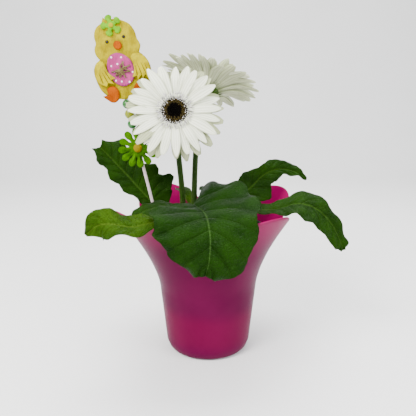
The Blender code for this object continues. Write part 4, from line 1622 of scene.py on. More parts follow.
OUTER_FLORETS = DiscZone(110, (11.6, 14.0), (0.4, 0.2), (0.25, 0.85), 0.25, 0.25, 3)
BROWN_BUDS = DiscZone(110, (6.6, 9.6), (0.8, 0.4), (0.0, 0.3), 0.18, 0.22, 6)
SPECKLED_BUDS = DiscZone(120, (9.4, 12.9), (0.4, 0.2), (0.1, 0.5), 0.2, 0.25, 12)
DARK_BUDS = DiscZone(118, (0.1, 7.0), (0.9, 0.7), (0.0, 0.1), 0.12, 0.15, 9)
# Each row of bracts: how many, their length, their distance from the axis, their height and their rise.
BRACT_ROWS = ((18, 7.5, 4.4, -12.6, 62), (20, 8.0, 7.0, -9.6, 48), (20, 8.0, 9.6, -6.6, 30))


@dataclass
class Bloom:
    """A gerbera head: rays in layers, a ring of small florets, a dark eye, and a cup of bracts on the stem."""

    name: str
    centre: Point
    facing: Point
    stem: Sequence[Point]
    layers: Sequence[RayLayer]
    ray_looks: Sequence[str] = ("ray_white", "ray_shade", "ray_white")
    receptacle_depth: float = 4.0

    def matrix(self) -> Matrix:
        """Returns the move from the bloom's own frame, whose +Z looks out of the disc."""
        return aimed(Vector(self.facing), Vector(self.centre))

    def placed(self, mesh: Mesh) -> Mesh:
        """Moves a mesh in metres from the bloom's own frame to its place.

        Args:
            mesh: The mesh.

        Returns:
            The same mesh.
        """
        move = self.matrix()
        move.translation *= MM
        mesh.transform(move)
        return mesh

    @staticmethod
    def ray_kinds(layer: RayLayer) -> list[Mesh]:
        """Makes the shapes that one layer of rays is made of.

        Args:
            layer: The layer.

        Returns:
            The blades.
        """
        kinds = []
        for k in range(6):
            vary = math.sin(2.1 * k + layer.seed)
            width = layer.width / 2 * (1 + 0.10 * vary)
            droop = layer.droop * (1 + 0.35 * math.cos(1.7 * k + layer.seed))
            point = 0.5 + 0.5 * math.sin(2.7 * k + 1.3 * layer.seed)
            halves = (0.45, 0.62, 0.82, 0.96, 1.03, 1.05, 1.0 - 0.08 * point, 0.86 - 0.22 * point,
                      0.40 - 0.26 * point)
            kinds.append(strap(f"ray_{k}", layer.length * (1 + 0.04 * vary), [width * h for h in halves],
                               (0.0, 1.2, 1.6, 1.0, -droop * 0.4, -droop), layer.cup + 0.08 * vary, 0.55, 18, 9,
                               groove=0.34, twist=14.0 * math.sin(k * 1.3 + layer.seed)))
        return kinds

    def build_rays(self) -> None:
        """Builds the rays in their layers."""
        for number, (layer, look) in enumerate(zip(self.layers, self.ray_looks)):
            mesh = WHORL.grow_blades(
                self.ray_kinds(layer), Count=layer.count, Radius=layer.root * MM, Height=layer.height * MM,
                Start=layer.start, Rise=math.radians(layer.rise), Rise_spread=math.radians(layer.spread),
                Turn_spread=1.3 / layer.count, Roll_spread=layer.roll, Size_spread=0.035, Seed=layer.seed,
                Finish=LOOKS[look])
            nodes = () if number else (self.name + "_rays",)
            keep(f"{self.name}_ray_layer_{number}", self.placed(mesh), (look,), "petal", *nodes)

    def build_disc(self) -> None:
        """Builds the ring of small florets, the buds inside it and the dark eye."""
        ring = strap("ring_floret", 5.2, (0.45, 0.55, 0.62, 0.5, 0.16), (0.0, 0.3, 0.1, -0.6), 0.35, 0.3, 6, 4)
        ring.transform(Matrix.Rotation(-math.pi / 2, 4, "Y"))
        brown = self.bud("brown_bud", 0.5, 3.0)
        zones = ((OUTER_FLORETS, ring, "ring_floret"), (BROWN_BUDS, brown, "brown_bud"),
                 (SPECKLED_BUDS, brown, "ring_floret"))
        florets = [zone.grow(floret, look) for zone, floret, look in zones]
        name = f"{self.name}_disc_florets"
        mesh = self.placed(merged(name, florets, own_slots=True))
        keep(name, mesh, [look for _, _, look in zones], "floret", self.name + "_florets")
        eye = DARK_BUDS.grow(self.bud("dark_bud", 0.62, 2.4), "dark_bud")
        eye = self.placed(merged("eye", (eye, self.dark_floor())))
        keep(f"{self.name}_disc_eye", eye, ("dark_bud",), "eye", self.name + "_eye")

    @staticmethod
    def dark_floor() -> Mesh:
        """Makes the thin dark floor that the florets stand on, in the bloom's own frame.

        Returns:
            The mesh.
        """
        sketch = Sketch()
        sketch.lathe(((5.0, 0.15), (12.9, 0.15), (13.1, 0.35), (12.6, 0.6), (8.0, 0.9), (4.0, 1.0)), 48)
        return sketch.mesh("dark_floor")

    @staticmethod
    def bud(name: str, radius: float, height: float) -> Mesh:
        """Makes one unopened floret: a five-sided rod with a rounded head.

        Args:
            name: The mesh's name.
            radius: Its radius.
            height: Its height.

        Returns:
            The mesh.
        """
        sketch = Sketch()
        centres = [Vector((0, 0, height * k)) for k in (0.0, 0.6, 0.85, 1.0)]
        sketch.tube(centres, [radius * 0.7, radius * 0.8, radius, radius * 0.45], 5)
        return sketch.mesh(name)

    def neck(self) -> Vector:
        """Returns the point where the stem meets the head."""
        return Vector(self.centre) - Vector(self.facing).normalized() * (self.receptacle_depth + 9.0)

    def stem_mesh(self, steps: int = 72, sides: int = 20) -> Mesh:
        """Returns the stem with its ridges.

        Args:
            steps: Steps along it.
            sides: Points round it.

        Returns:
            The mesh.
        """
        out = Vector(self.facing).normalized()
        points = [Vector(p) for p in self.stem] + [self.neck() - out * 6.0, self.neck(), self.neck() + out * 3.0]
        sketch = Sketch()
        starts = []
        for k in range(steps + 1):
            t = k / steps
            centre = stem_curve(points, t)
            ahead = (stem_curve(points, min(t + 0.01, 1.0)) - stem_curve(points, max(t - 0.01, 0.0))).normalized()
            side = ahead.cross(Vector((0, 1, 0))).normalized()
            up = side.cross(ahead)
            radius = 2.7 - 0.35 * t
            ring = [centre + (side * math.cos(a) + up * math.sin(a)) * radius * (1 + 0.045 * math.cos(10 * a))
                    for a in turns(sides)]
            starts.append(sketch.ring(ring, [(t * 14, i / sides) for i in range(sides)]))
        sketch.loft(starts, sides)
        return sketch.mesh("stem")

    def bracts(self, look: str) -> Mesh:
        """Makes the rows of bracts round the cup, in the bloom's own frame.

        Args:
            look: Their finish.

        Returns:
            The mesh.
        """
        rows = []
        for row, (count, length, radius, height, rise) in enumerate(BRACT_ROWS):
            bract = strap("bract", length, (1.0, 1.25, 1.0, 0.55, 0.08), (0.0, 0.5, 0.4, 0.0), 0.25, 0.5, 8, 5)
            rows.append(WHORL.grow_blades(
                [bract], Count=count, Radius=radius * MM, Height=height * MM, Start=row * 0.16,
                Rise=math.radians(rise), Rise_spread=0.05, Turn_spread=0.02, Roll_spread=0.1, Size_spread=0.1,
                Seed=row + 2, Finish=LOOKS[look]))
        return merged("bracts", rows)

    def build_stem(self) -> None:
        """Builds the stem with its ridges, the cup with its bracts, and the fine hairs."""
        stem = self.stem_mesh()
        name = f"{self.name}_stem_and_cup"
        keep(name, merged(name, (stem, self.placed(self.cup()))), ("stem_green",), "stem", self.name + "_stem")
        keep(f"{self.name}_bracts", self.placed(self.bracts("bract_green")), ("bract_green",), "stem")
        hair = Sketch()
        hair.tube([Vector((0, 0, 0)), Vector((0.05, 0, 0.9))], [0.05, 0.015], 3)
        hairs = STEM_DOWN.grow(stem, hair.mesh("hair"), 4, "down_white")
        keep(f"{self.name}_stem_down", hairs, ("down_white",), "stem")

    def cup(self) -> Mesh:
        """Makes the receptacle and the cup under the bracts, in the bloom's own frame.

        Returns:
            The mesh.
        """
        back = -self.receptacle_depth
        sketch = Sketch()
        sketch.lathe(((11.9, 0.2), (12.2, -0.8), (12.0, back), (11.0, back - 2.0), (8.2, back - 6.0),
                      (4.2, back - 9.5), (2.4, back - 11.5)), 40)
        return sketch.mesh("cup")


FRONT_BLOOM = Bloom(
    "front_bloom", (-30, -24, 241.8), (0.03, -0.94, 0.33),
    [(-24, 3, 112), (-24.5, 3, 140), (-25.5, 1, 165), (-28, -2, 195), (-29.5, -6, 220)],
    (RayLayer(24, 34.0, 8.6, -1.0, 9, 0.0, 2), RayLayer(22, 35.5, 8.8, -2.6, 2, 0.12, 7),
     RayLayer(52, 6.6, 1.3, 0.3, 26, 0.2, 12, 9.0, 1.0, 11.6, 0.3)))
# The back bloom's two outer layers of rays take darker copies of the white ray finish: painted shade.
BACK_BLOOM = Bloom(
    "back_bloom", (-1, 31, 259.5), (0.26, 0.47, 0.85),
    [(-13, 4, 112), (-13.5, 5, 140), (-13.5, 8, 165), (-12, 12, 200), (-9, 18, 230)],
    (RayLayer(21, 39.0, 9.6, -1.0, 25, 0.0, 4, 7.0, 4.0, 8.5, 0.3, 0.26),
     RayLayer(21, 41.0, 9.8, -2.6, 19, 0.12, 9, 7.0, 4.0, 8.5, 0.3, 0.26),
     RayLayer(52, 6.8, 1.4, 0.3, 30, 0.2, 14, 9.0, 1.0, 11.6, 0.3)),
    ("ray_ivory", "ray_underside", "ray_white"))


# Pick

@dataclass
class Pick:
    """The pick: a stick with beads, a felt flower and a felt chick."""

    at_soil: Vector = field(default_factory=lambda: Vector((-47.0, -6.0, 122.0)))
    lean: Vector = field(default_factory=lambda: Vector((-0.236, 0.06, 1.0)))
    stick_radius: float = 1.5
    bottom: float = 66.0
    top: float = 284.0
    gap: float = 0.35
    felt: float = 2.4
    chick_height: float = 288.0
    flower_height: float = 205.5
    bow_centre: tuple[float, float] = (3.5, -12.0)

    def __post_init__(self) -> None:
        """Works out the pick's own directions."""
        self.up = self.lean.normalized()
        self.right = (Vector((1, 0, 0)) - self.up * self.up.x).normalized()
        self.front = self.right.cross(self.up)
        self.on_stick = self.stick_radius + self.gap
        self.on_body = self.on_stick + self.felt + self.gap
        self.on_egg = self.on_body + self.felt + self.gap

    def stick_at(self, height: float) -> Vector:
        """Returns the stick's middle at a height."""
        return self.at_soil + self.lean * (height - self.at_soil.z)

    def matrix(self, height: float, forward: float, at: tuple[float, float] = (0.0, 0.0)) -> Matrix:
        """Returns the move from a flat drawing to the felt's place.

        Args:
            height: The height on the stick.
            forward: How far in front of the stick.
            at: Right and up from there.

        Returns:
            The matrix, in millimetres.
        """
        matrix = Matrix((self.right, self.up, self.front)).transposed().to_4x4()
        place = self.stick_at(height) + self.front * forward + self.right * at[0] + self.up * at[1]
        matrix.translation = place
        return matrix

    def felt_mesh(self, name: str, outline: Outline, thickness: float, height: float, forward: float,
                  crown: float = 0.35) -> Mesh:
        """Cuts a felt piece to an outline, with rounded edges and a slightly uneven face.

        Args:
            name: The mesh's name.
            outline: Right and up places; a third item marks a corner.
            thickness: The felt's thickness.
            height: The height on the stick.
            forward: How far its back is in front of the stick.
            crown: How far the faces swell.

        Returns:
            The mesh, in place.
        """
        curve = bpy.data.curves.new(name, "CURVE")
        curve.dimensions = "2D"
        curve.fill_mode = "NONE"
        curve.resolution_u = 10
        spline = curve.splines.new("BEZIER")
        spline.bezier_points.add(len(outline) - 1)
        spline.use_cyclic_u = True
        for point, place in zip(spline.bezier_points, outline):
            point.co = (place[0], place[1], 0.0)
            kind = "VECTOR" if len(place) > 2 else "AUTO"
            point.handle_left_type = point.handle_right_type = kind
        holder = linked(name, curve)
        edge = evaluated(holder)
        bpy.data.objects.remove(holder)
        ring = [Vector((v.co.x, v.co.y)) for v in edge.vertices]
        return self.pillow(name, ring, thickness, self.matrix(height, forward + thickness / 2), crown)

    @staticmethod
    def pillow(name: str, ring: Sequence[Vector], thickness: float, matrix: Matrix, crown: float) -> Mesh:
        """Fills a ring with fine cells and gives it two swollen faces and a round edge.

        Args:
            name: The mesh's name.
            ring: The outline.
            thickness: The thickness.
            matrix: The move to its place.
            crown: How far the faces swell.

        Returns:
            The mesh.
        """
        half = thickness / 2
        total = len(ring)
        low = Vector((min(p.x for p in ring), min(p.y for p in ring)))
        high = Vector((max(p.x for p in ring), max(p.y for p in ring)))
        inset = [p - Pick.outward(ring, i).xy * 0.5 for i, p in enumerate(ring)][::2]
        step = 1.3
        for row in range(int((high.y - low.y) / step) + 1):
            for column in range(int((high.x - low.x) / step) + 1):
                inset.append(low + Vector(((column + 0.5 * (row % 2)) * step, row * step)))
        kept = []
        for number, p in enumerate(inset):
            gap = 0.4 if number < total / 2 else 0.9
            if Pick.inside(ring, p) and min((p - q).length for q in ring) > gap:
                kept.append(p)
        edges = [(i, (i + 1) % total) for i in range(total)]
        cells = geometry.delaunay_2d_cdt([*ring, *kept], edges, [], 1, 1e-5)
        points = [Vector((p.x, p.y, 0.0)) for p in cells[0]]
        place = {start: i for i, origins in enumerate(cells[3]) for start in origins}
        loop = [place[i] for i in range(total)]
        faces = [tuple(f) for f in cells[2]]
        away = [0.0 if i in set(loop) else min((p.xy - q).length for q in ring) for i, p in enumerate(points)]
        rise = [half * (0.6 + 0.4 * math.sqrt(1 - (1 - min(a / 0.9, 1.0)) ** 2)) for a in away]
        swell = [crown * (1 - math.exp(-a / 3.0)) * (0.4 + noise.noise(p * 0.35)) for a, p in zip(away, points)]
        sketch = Sketch()
        for side in (1, -1):
            sketch.ring([Vector((p.x, p.y, side * (r + (s if side > 0 else 0.0))))
                         for p, r, s in zip(points, rise, swell)])
        count = len(points)
        sketch.faces = faces + [tuple(i + count for i in reversed(f)) for f in faces]
        total = len(loop)
        middle = sketch.ring([Vector((ring[i].x, ring[i].y, 0.0)) + Pick.outward(ring, i) * half * 0.35
                              for i in range(total)])
        for i in range(total):
            j = (i + 1) % total
            sketch.faces.append((loop[i], middle + i, middle + j, loop[j]))
            sketch.faces.append((middle + i, loop[i] + count, loop[j] + count, middle + j))
        sketch.slots = [0] * len(sketch.faces)
        sketch.pattern = [(p.x * 0.05, p.y * 0.05) for p in sketch.points]
        return sketch.mesh(name, matrix)

    @staticmethod
    def inside(ring: Sequence[Vector], point: Vector) -> bool:
        """Tests whether a point lies inside a ring.

        Args:
            ring: The ring.
            point: The point.

        Returns:
            Whether it does.
        """
        odd = False
        for a, b in zip(ring, [*ring[1:], ring[0]]):
            if (a.y > point.y) != (b.y > point.y) and point.x < a.x + (b.x - a.x) * (point.y - a.y) / (b.y - a.y):
                odd = not odd
        return odd

    @staticmethod
    def outward(ring: Sequence[Vector], i: int) -> Vector:
        """Finds the way out of a ring at one of its points.

        Args:
            ring: The ring.
            i: The point's index.

        Returns:
            The direction.
        """
        way = ring[(i + 1) % len(ring)] - ring[i - 1]
        area = sum(a.x * b.y - b.x * a.y for a, b in zip(ring, [*ring[1:], ring[0]]))
        out = Vector((way.y, -way.x, 0.0)).normalized()
        return out if area > 0 else -out


def rosette(petals: int, root: float, reach: float, half: float, turn: float,
            centre: tuple[float, float] = (0.0, 0.0)) -> list[tuple]:
    """Returns the outline of a flower cut from felt.

    Args:
        petals: How many petals it has.
        root: The radius of its valleys.
        reach: The radius of its tips.
        half: Half the angle of a petal, in radians.
        turn: How far it is turned, in degrees.
        centre: Its middle.

    Returns:
        Right and up places; a third item marks a corner.
    """
    outline = []
    for k in range(petals):
        middle = 2 * math.pi * k / petals + math.radians(turn)
        valley = middle - math.pi / petals
        outline.append((root * math.cos(valley), root * math.sin(valley), "corner"))
        for side, share, spread in ((-1, 0.55, 0.80), (-1, 0.78, 1.05), (-1, 0.94, 0.66), (0, 1.0, 0.0),
                                    (1, 0.94, 0.66), (1, 0.78, 1.05), (1, 0.55, 0.80)):
            angle = middle + side * half * spread
            outline.append((reach * share * math.cos(angle), reach * share * math.sin(angle)))
    return [(x + centre[0], y + centre[1], *rest) for x, y, *rest in outline]


@dataclass(frozen=True)
class FeltPart:
    """One cut piece of the chick: its outline, thickness and layer."""

    name: str
    outline: Outline
    thickness: float
    layer: str
    slot: str


CHICK_BODY = FeltPart("chick_body", (
    (-3.5, 32.5, "corner"), (-1.5, 37, "corner"), (1, 33.5, "corner"), (8.5, 33.5), (15, 30.5), (20.5, 26),
    (23.5, 19), (24, 12.5), (25.5, 6.5), (23, 0.5, "corner"), (28, -6.5), (30, -15), (28.5, -22), (20, -35.5),
    (10, -38), (-9, -35), (-17, -29), (-21, -19), (-21, -9.5), (-17.5, -1.5), (-13.5, 1.5, "corner"),
    (-16, 7.5), (-15.5, 12.5), (-13.5, 16), (-13, 23.5), (-9.5, 29.5)), 2.4, "stick", "yellow_felt")
WING_RIGHT = FeltPart("chick_wing_right", (
    (16.5, -1.5), (23, -1.5), (28.5, -8), (29.5, -15.5), (27.5, -21.5), (26, -24.5, "corner"),
    (25, -20.5, "corner"), (21.5, -24, "corner"), (21, -20, "corner"), (16.5, -24.5, "corner"),
    (17, -20, "corner"), (12.5, -20.5, "corner"), (15.5, -15), (16, -8)), 1.68, "egg", "yellow_felt")
WING_LEFT = FeltPart("chick_wing_left", (
    (-11.5, -1), (-10, -6.5), (-8.5, -12), (-3.5, -18, "corner"), (-8, -18.5, "corner"), (-6, -22.5, "corner"),
    (-11, -20.5, "corner"), (-13, -23.5, "corner"), (-19.5, -18), (-21, -11), (-19, -4), (-15, -0.5)),
    1.68, "egg", "yellow_felt")
EGG = FeltPart("chick_egg", (
    (0, 3.5), (5, 3), (11.5, -2), (15, -9), (15, -15.5), (12.5, -21.5), (7.5, -25.5), (2, -26), (-3, -23),
    (-7, -16.5), (-8.5, -10), (-7.5, -3.5), (-4.5, 1.5)), 2.4, "body", "pink_felt")
FOOT_LEFT = FeltPart("chick_foot_left", (
    (-13.5, -26), (-8.5, -24.5), (-4.5, -28), (-4, -33), (-6.5, -37.5), (-11, -38.5), (-15, -35.5),
    (-18.5, -31.5, "corner"), (-14, -31)), 2.4, "body", "orange_felt")
FOOT_RIGHT = FeltPart("chick_foot_right", (
    (12.5, -28), (16, -26.5), (20, -29.5), (22, -36), (18.5, -40), (13.5, -38.5), (11, -34)),
    2.4, "body", "orange_felt")
BEAK = FeltPart("chick_beak", (
    (2.5, 11), (4, 13.5), (7, 13.5), (9, 11.5), (8.5, 7.5), (6, 6.5), (3, 8.5)), 2.4, "body", "orange_felt")
HEAD_FLOWER_PLACE = (4.5, 28.5)
HEAD_FLOWER = FeltPart("chick_flower", rosette(5, 3.4, 9.4, 0.40, 26.0, HEAD_FLOWER_PLACE), 1.68, "body", "green_felt")
# Dark strips on the wings, the right and up places of their two ends: painted shade in the gaps between the felt
# feathers.
FEATHER_SHADE_LINES = (((25.3, -20.2), (23.0, -9.0)), ((21.1, -19.6), (19.6, -9.5)), ((17.2, -19.6), (17.4, -11.0)),
                 ((27.6, -19.5), (26.2, -11.0)), ((-8.2, -18.2), (-11.6, -8.5)), ((-11.0, -20.2), (-14.2, -9.0)),
                 ((-15.4, -20.2), (-17.0, -10.0)))
EGG_DOTS = ((-2.5, 1), (6.5, -1), (1.5, -6), (-4.5, -6.5), (-3.5, -20), (1.5, -22), (8.5, -24), (13.5, -16),
            (-3, -12.5))
CHICK_EYES = {"chick_eye_left": (-3.0, 15.5), "chick_eye_right": (13.0, 16.5)}
BOW_LOOPS = ((62, 7.0), (15, 8.4), (-20, 7.6), (-70, 7.2), (-112, 6.0), (180, 8.0), (215, 6.2))
BEADS = {"bead_lower": (228.0, 4.4), "bead_middle": (237.3, 4.6), "bead_upper": (246.6, 4.4)}


@dataclass
class FeltChick:
    """The chick with its egg, its flower and its bow, cut from felt and fixed to the pick."""

    pick: Pick

    def part(self, part: FeltPart, look: str = "") -> Mesh:
        """Cuts one felt part and keeps it as a piece.

        Args:
            part: The part.
            look: Its finish, when it isn't the one that its slot is named after.

        Returns:
            The felt's own mesh.
        """
        pick = self.pick
        forward = {"stick": pick.on_stick, "body": pick.on_body, "egg": pick.on_egg}[part.layer]
        name = part.name + "_felt"
        mesh = pick.felt_mesh(name, part.outline, part.thickness, pick.chick_height, forward)
        keep(name, merged(part.name, (mesh,), 55.0), (look or part.slot,), part.slot, part.name)
        return mesh

    def dome(self, name: str, radius: float, rise: float, height: float, forward: float,
             at: tuple[float, float] = (0.0, 0.0), sides: int = 28, dimples: int = 0, rows: int = 8) -> Mesh:
        """Returns a low dome that stands on the felt.

        Args:
            name: The mesh's name.
            radius: Its radius.
            rise: Its height.
            height: The height on the stick.
            forward: How far its foot is in front of the stick.
            at: Right and up from there.
            sides: Points round it.
            dimples: How many small dimples run round its face.
            rows: Rings from its foot to its top.

        Returns:
            The mesh.
        """
        sketch = Sketch()
        starts = []
        for k in range(rows):
            turn = math.pi / 2 * k / rows
            out, up = radius * math.cos(turn), rise * math.sin(turn)
            starts.append(sketch.ring([
                polar(out, a, up + 0.12 * rise * math.sin(dimples * a) * math.sin(2 * turn)) for a in turns(sides)]))
        sketch.loft(starts, sides)
        return sketch.mesh(name, self.pick.matrix(height, forward, at))

    @staticmethod
    def add_loop(sketch: Sketch, angle: float, length: float, breadth: float, steps: int = 14) -> None:
        """Adds one loop of the bow, made of two twisted strands.

        Args:
            sketch: The bow's sketch.
            angle: The loop's heading, in degrees.
            length: Its length.
            breadth: Half its width.
            steps: Steps along it.
        """
        out = Vector((math.cos(math.radians(angle)), math.sin(math.radians(angle)), 0))
        across = Vector((-out.y, out.x, 0))
        for strand, side in enumerate((-1, 1)):
            centres = []
            for k in range(steps + 1):
                s = k / steps
                wide = breadth * math.sin(math.pi * s)
                twist = s * 9 + strand * math.pi
                middle = out * (length + 1.0) * s + across * wide * side
                middle += Vector((0, 0, 1.0 + 0.35 * math.sin(twist)))
                centres.append(middle + across * 0.35 * math.cos(twist))
            sketch.tube(centres, [0.75 * (1 - 0.35 * k / steps) for k in range(steps + 1)], 7)

    def bow(self) -> None:
        """Ties the bow from twisted twine, with three turns round its knot."""
        sketch = Sketch()
        for number, (angle, length) in enumerate(BOW_LOOPS):
            self.add_loop(sketch, angle, length, 0.5 if number % 2 else 1.25)
        for k in range(3):
            ring = [Vector((1.3 * math.cos(a), (1.0 - 0.15 * k) * math.sin(a), 1.1 + 0.28 * k))
                    for a in (2 * math.pi * i / 14 for i in range(15))]
            sketch.tube([p + Vector((0, 0.35 * (k - 1), 0)) for p in ring], [0.55] * len(ring), 6)
        pick = self.pick
        mesh = sketch.mesh("egg_bow_twine", pick.matrix(pick.chick_height, pick.on_egg, pick.bow_centre))
        keep("egg_bow_twine", mesh, ("twine",), "twine", "egg_bow")

    def build(self) -> None:
        """Builds the chick."""
        pick = self.pick
        high = pick.chick_height
        # The wings take a lighter copy of the body felt: painted light.
        yellow = [self.part(CHICK_BODY), self.part(WING_LEFT, "wing_felt"), self.part(WING_RIGHT, "wing_felt")]
        # Dark strips over the wings stand in for the shade in the gaps between feathers: painted shade.
        lines = Sketch()
        for start, end in FEATHER_SHADE_LINES:
            first, last = Vector((*start, 1.75)), Vector((*end, 1.95))
            lines.tube([first.lerp(last, k / 5) for k in range(6)], [0.34, 0.42, 0.40, 0.32, 0.22, 0.08], 6, 0.6)
        feathers = lines.mesh("feathers", pick.matrix(high, pick.on_egg))
        keep("chick_feather_lines", feathers, ("feather_shade",), "yellow_felt")
        pink = [self.part(EGG)]
        orange = [self.part(part) for part in (FOOT_LEFT, FOOT_RIGHT, BEAK)]
        green = [self.part(HEAD_FLOWER, "chick_green_felt")]
        for name, at in CHICK_EYES.items():
            eye = self.dome(name + "_bead", 1.5, 1.3, high, pick.on_body, at)
            keep(name + "_bead", eye, ("black_bead",), "black_bead", name)
        centre = self.dome("chick_flower_centre", 2.2, 1.2, high,
                           pick.on_body + HEAD_FLOWER.thickness + pick.gap, HEAD_FLOWER_PLACE, dimples=9)
        keep("chick_flower_centre", centre, ("yellow_felt",), "yellow_felt", "chick_flower_button")
        dots = [self.dome("dot", 0.95, 0.35, high, pick.on_body + 2.3, at, 16) for at in EGG_DOTS]
        keep("chick_egg_dots", merged("dots", dots), ("white_print",), "pink_felt")
        self.bow()
        for seed, (slot, meshes) in enumerate((("yellow_felt", yellow), ("pink_felt", pink),
                                               ("orange_felt", orange), ("green_felt", green)), 2):
            wool = FELT_WOOL.grow(merged("cloth", meshes), wool_hair(), seed, slot)
            keep(f"chick_{slot}_fuzz", wool, (slot,), slot)


@dataclass
class NurseryPot:
    """The thin dark pot that holds the soil inside the cover pot."""

    bottom: float = 24.0
    top: float = 128.0
    bottom_radius: float = 40.3
    top_radius: float = 53.4
    wall: float = 1.3
    lip: float = 2.2

    def radius(self, height: float) -> float:
        """Returns the outside radius at a height."""
        share = (height - self.bottom) / (self.top - self.bottom)
        return self.bottom_radius + (self.top_radius - self.bottom_radius) * share

    def build(self) -> None:
        """Builds the pot with its rolled lip and its foot."""
        edge = self.top - 6.0
        lip = self.top_radius + self.lip
        floor = self.bottom + self.wall
        profile = ((8.0, floor), (self.radius(floor) - self.wall, floor), (self.radius(60) - self.wall, 60),
                   (self.radius(100) - self.wall, 100), (self.top_radius - self.wall, self.top - 0.6),
                   (self.top_radius - self.wall + 0.6, self.top), (lip - 0.8, self.top), (lip, self.top - 0.8),
                   (lip, edge + 0.8), (lip - 0.8, edge), (self.radius(edge) + 0.4, edge),
                   (self.radius(edge), edge - 0.5), (self.radius(100), 100), (self.radius(60), 60),
                   (self.bottom_radius, self.bottom + 1.0), (self.bottom_radius - 1.0, self.bottom),
                   (8.0, self.bottom))
        sketch = Sketch()
        sides = 96
        starts = [sketch.circle(radius, height, sides) for radius, height in profile]
        sketch.cap(starts[0], sides)
        sketch.loft(starts, sides, ends=False)
        sketch.cap(starts[-1], sides)
        mesh = sketch.mesh("nursery_pot_wall", smooth=35.0)
        keep("nursery_pot_wall", mesh, ("nursery_plastic",), "nursery_plastic", "nursery_pot")


@dataclass
class StickAndBeads:
    """The white stick, its beads and the felt flower on it."""

    pick: Pick
    petals: int = 12
    flower_turn: float = -6.0

    def bead(self, name: str, height: float, radius: float, look: str, sides: int = 40, steps: int = 22) -> None:
        """Builds one bead with its hole.

        Args:
            name: The CAD node's name.
            height: Its height on the stick.
            radius: Its radius.
            look: The name of its finish and slot.
            sides: Points round it.
            steps: Steps from one end of the hole to the other.
        """
        pick = self.pick
        tilt = math.acos((pick.stick_radius + pick.gap) / radius)
        sketch = Sketch()
        starts = []
        for k in range(steps + 1):
            a = tilt * (1 - 2 * k / steps)
            starts.append(sketch.circle(radius * math.cos(a), radius * math.sin(a), sides))
        sketch.loft([*starts, starts[0]], sides, ends=False)
        mesh = sketch.mesh(name + "_ball", aimed(pick.up, pick.stick_at(height)), 50.0)
        keep(name + "_ball", mesh, (look,), look, name)

    def build(self, chick: FeltChick) -> None:
        """Builds the stick and what is threaded on it.

        Args:
            chick: Gives the button's dome.
        """
        pick = self.pick
        sketch = Sketch()
        steps = 60
        centres = [pick.stick_at(pick.bottom + (pick.top - pick.bottom) * k / steps) for k in range(steps + 1)]
        radii = [pick.stick_radius * (0.97 + 0.03 * math.sin(k * 1.7)) for k in range(steps + 1)]
        sketch.tube(centres, radii, 20)
        keep("stick_wood", sketch.mesh("stick_wood", smooth=50.0), ("white_stick",), "stick", "stick")
        for name, (height, radius) in BEADS.items():
            self.bead(name, height, radius, "yellow_bead" if name == "bead_middle" else "green_bead")
        outline = rosette(self.petals, 7.5, 18.5, 0.19, self.flower_turn)
        flower = pick.felt_mesh("stick_flower_felt", outline, pick.felt, pick.flower_height, pick.on_stick, 0.5)
        whole = merged("flower", (flower, *(self.seam(k) for k in range(self.petals))), 55.0)
        keep("stick_flower_felt", whole, ("green_felt",), "green_felt", "stick_flower")
        button = chick.dome("stick_flower_knob", 4.2, 2.4, pick.flower_height, pick.on_body, sides=32, dimples=11)
        keep("stick_flower_knob", button, ("ochre_button",), "button", "stick_flower_button")
        wool = FELT_WOOL.grow(flower, wool_hair(), 6, "green_felt")
        keep("stick_flower_fuzz", wool, ("green_felt",), "green_felt")

    def seam(self, number: int, steps: int = 6) -> Mesh:
        """Makes the raised middle of one felt petal.

        Args:
            number: Which petal.
            steps: Steps along it.

        Returns:
            The mesh.
        """
        pick = self.pick
        way = polar(1.0, 2 * math.pi * number / self.petals + math.radians(self.flower_turn))
        swells = [math.sin(math.pi * k / steps) for k in range(steps + 1)]
        centres = [way * (5.0 + 11.5 * k / steps) + Vector((0, 0, pick.felt - 0.2 + 0.45 * swell))
                   for k, swell in enumerate(swells)]
        sketch = Sketch()
        sketch.tube(centres, [0.3 + 0.9 * swell for swell in swells], 10, 0.5)
        return sketch.mesh("seam", pick.matrix(pick.flower_height, pick.on_stick))


# Light, floor and camera

@dataclass(frozen=True)
class Softbox:
    """A large soft lamp that looks at a point."""

    name: str
    place: Point
    size: float
    watts: float
    colour: Colour
    target: Point = (0.0, 0.0, 0.16)

    def build(self) -> None:
        """Adds the lamp."""
        data = bpy.data.lights.new(self.name, "AREA")
        data.shape, data.size, data.energy, data.color = "DISK", self.size, self.watts, self.colour
        lamp = linked(self.name, data)
        lamp.location = self.place
        lamp.rotation_euler = (Vector(self.target) - Vector(self.place)).to_track_quat("-Z", "Y").to_euler()


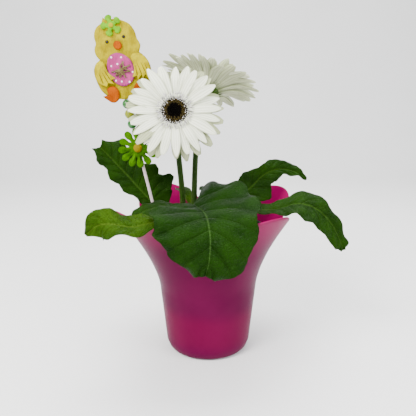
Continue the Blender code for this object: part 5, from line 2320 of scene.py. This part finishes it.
@dataclass(frozen=True)
class Studio:
    """A pale backdrop, soft lamps and the camera."""

    focal: float = 46.73
    camera_place: Point = (0.0, -0.517, 0.276)
    pitch: float = 14.15
    lamps: tuple[Softbox, ...] = (
        Softbox("key", (-0.60, -0.80, 0.95), 0.6, 34.0, (1.0, 0.985, 0.96)),
        Softbox("fill", (0.80, -0.65, 0.60), 0.9, 14.0, (0.97, 0.985, 1.0)),
        Softbox("top", (0.05, 0.30, 1.20), 0.9, 26.0, (1.0, 1.0, 1.0)),
    )

    def floor(self) -> bpy.types.Object:
        """Makes a floor that curves up into a backdrop.

        Returns:
            The floor.
        """
        sketch = Sketch()
        profile = [(-1600.0, 0.0), (900.0, 0.0)]
        profile += [(900 + 500 * math.sin(a), 500 - 500 * math.cos(a))
                    for a in (math.pi / 2 * k / 16 for k in range(1, 17))]
        profile += [(1400.0, 2600.0)]
        rows = [sketch.ring([Vector((-3000.0, y, z)), Vector((3000.0, y, z))]) for y, z in profile]
        for low, high in zip(rows, rows[1:]):
            sketch.faces.append((low, low + 1, high + 1, high))
            sketch.slots.append(0)
        sketch.pattern = [(0.0, 0.0)] * len(sketch.points)
        piece = linked("floor", sketch.mesh("floor"))
        paper = GrainFinish("backdrop_paper", (0.80, 0.80, 0.79), (0.86, 0.86, 0.86), 0.85, 2.0, 400.0, 0.02)
        piece.data.materials.append(paper.build())
        return piece

    def build(self) -> None:
        """Sets the floor, the lamps, the sky and the camera."""
        self.floor()
        for lamp in self.lamps:
            lamp.build()
        world = bpy.data.worlds.new("studio_air")
        world.use_nodes = True
        air = world.node_tree.nodes["Background"]
        air.inputs["Color"].default_value = (0.95, 0.97, 1.0, 1.0)
        air.inputs["Strength"].default_value = 0.85
        bpy.context.scene.world = world
        data = bpy.data.cameras.new("camera")
        data.sensor_width, data.lens = 36.0, self.focal
        data.clip_start, data.clip_end = 0.02, 10.0
        camera = linked("camera", data)
        camera.location = self.camera_place
        camera.rotation_euler = (math.radians(90.0 - self.pitch), 0.0, 0.0)
        bpy.context.scene.camera = camera


@dataclass
class PottedGerbera:
    """The whole plant in its pot."""

    def build(self) -> None:
        """Builds every sub-assembly."""
        for part in (CoverPot(), NurseryPot(), Soil(), *LEAVES):
            part.build()
        for bloom in (FRONT_BLOOM, BACK_BLOOM):
            bloom.build_rays()
            bloom.build_disc()
            bloom.build_stem()
        pick = Pick()
        chick = FeltChick(pick)
        StickAndBeads(pick).build(chick)
        chick.build()


def main() -> None:
    """Builds the object and its studio."""
    logging.basicConfig(level=logging.INFO)
    PottedGerbera().build()
    Studio().build()


if __name__ == "__main__":
    main()
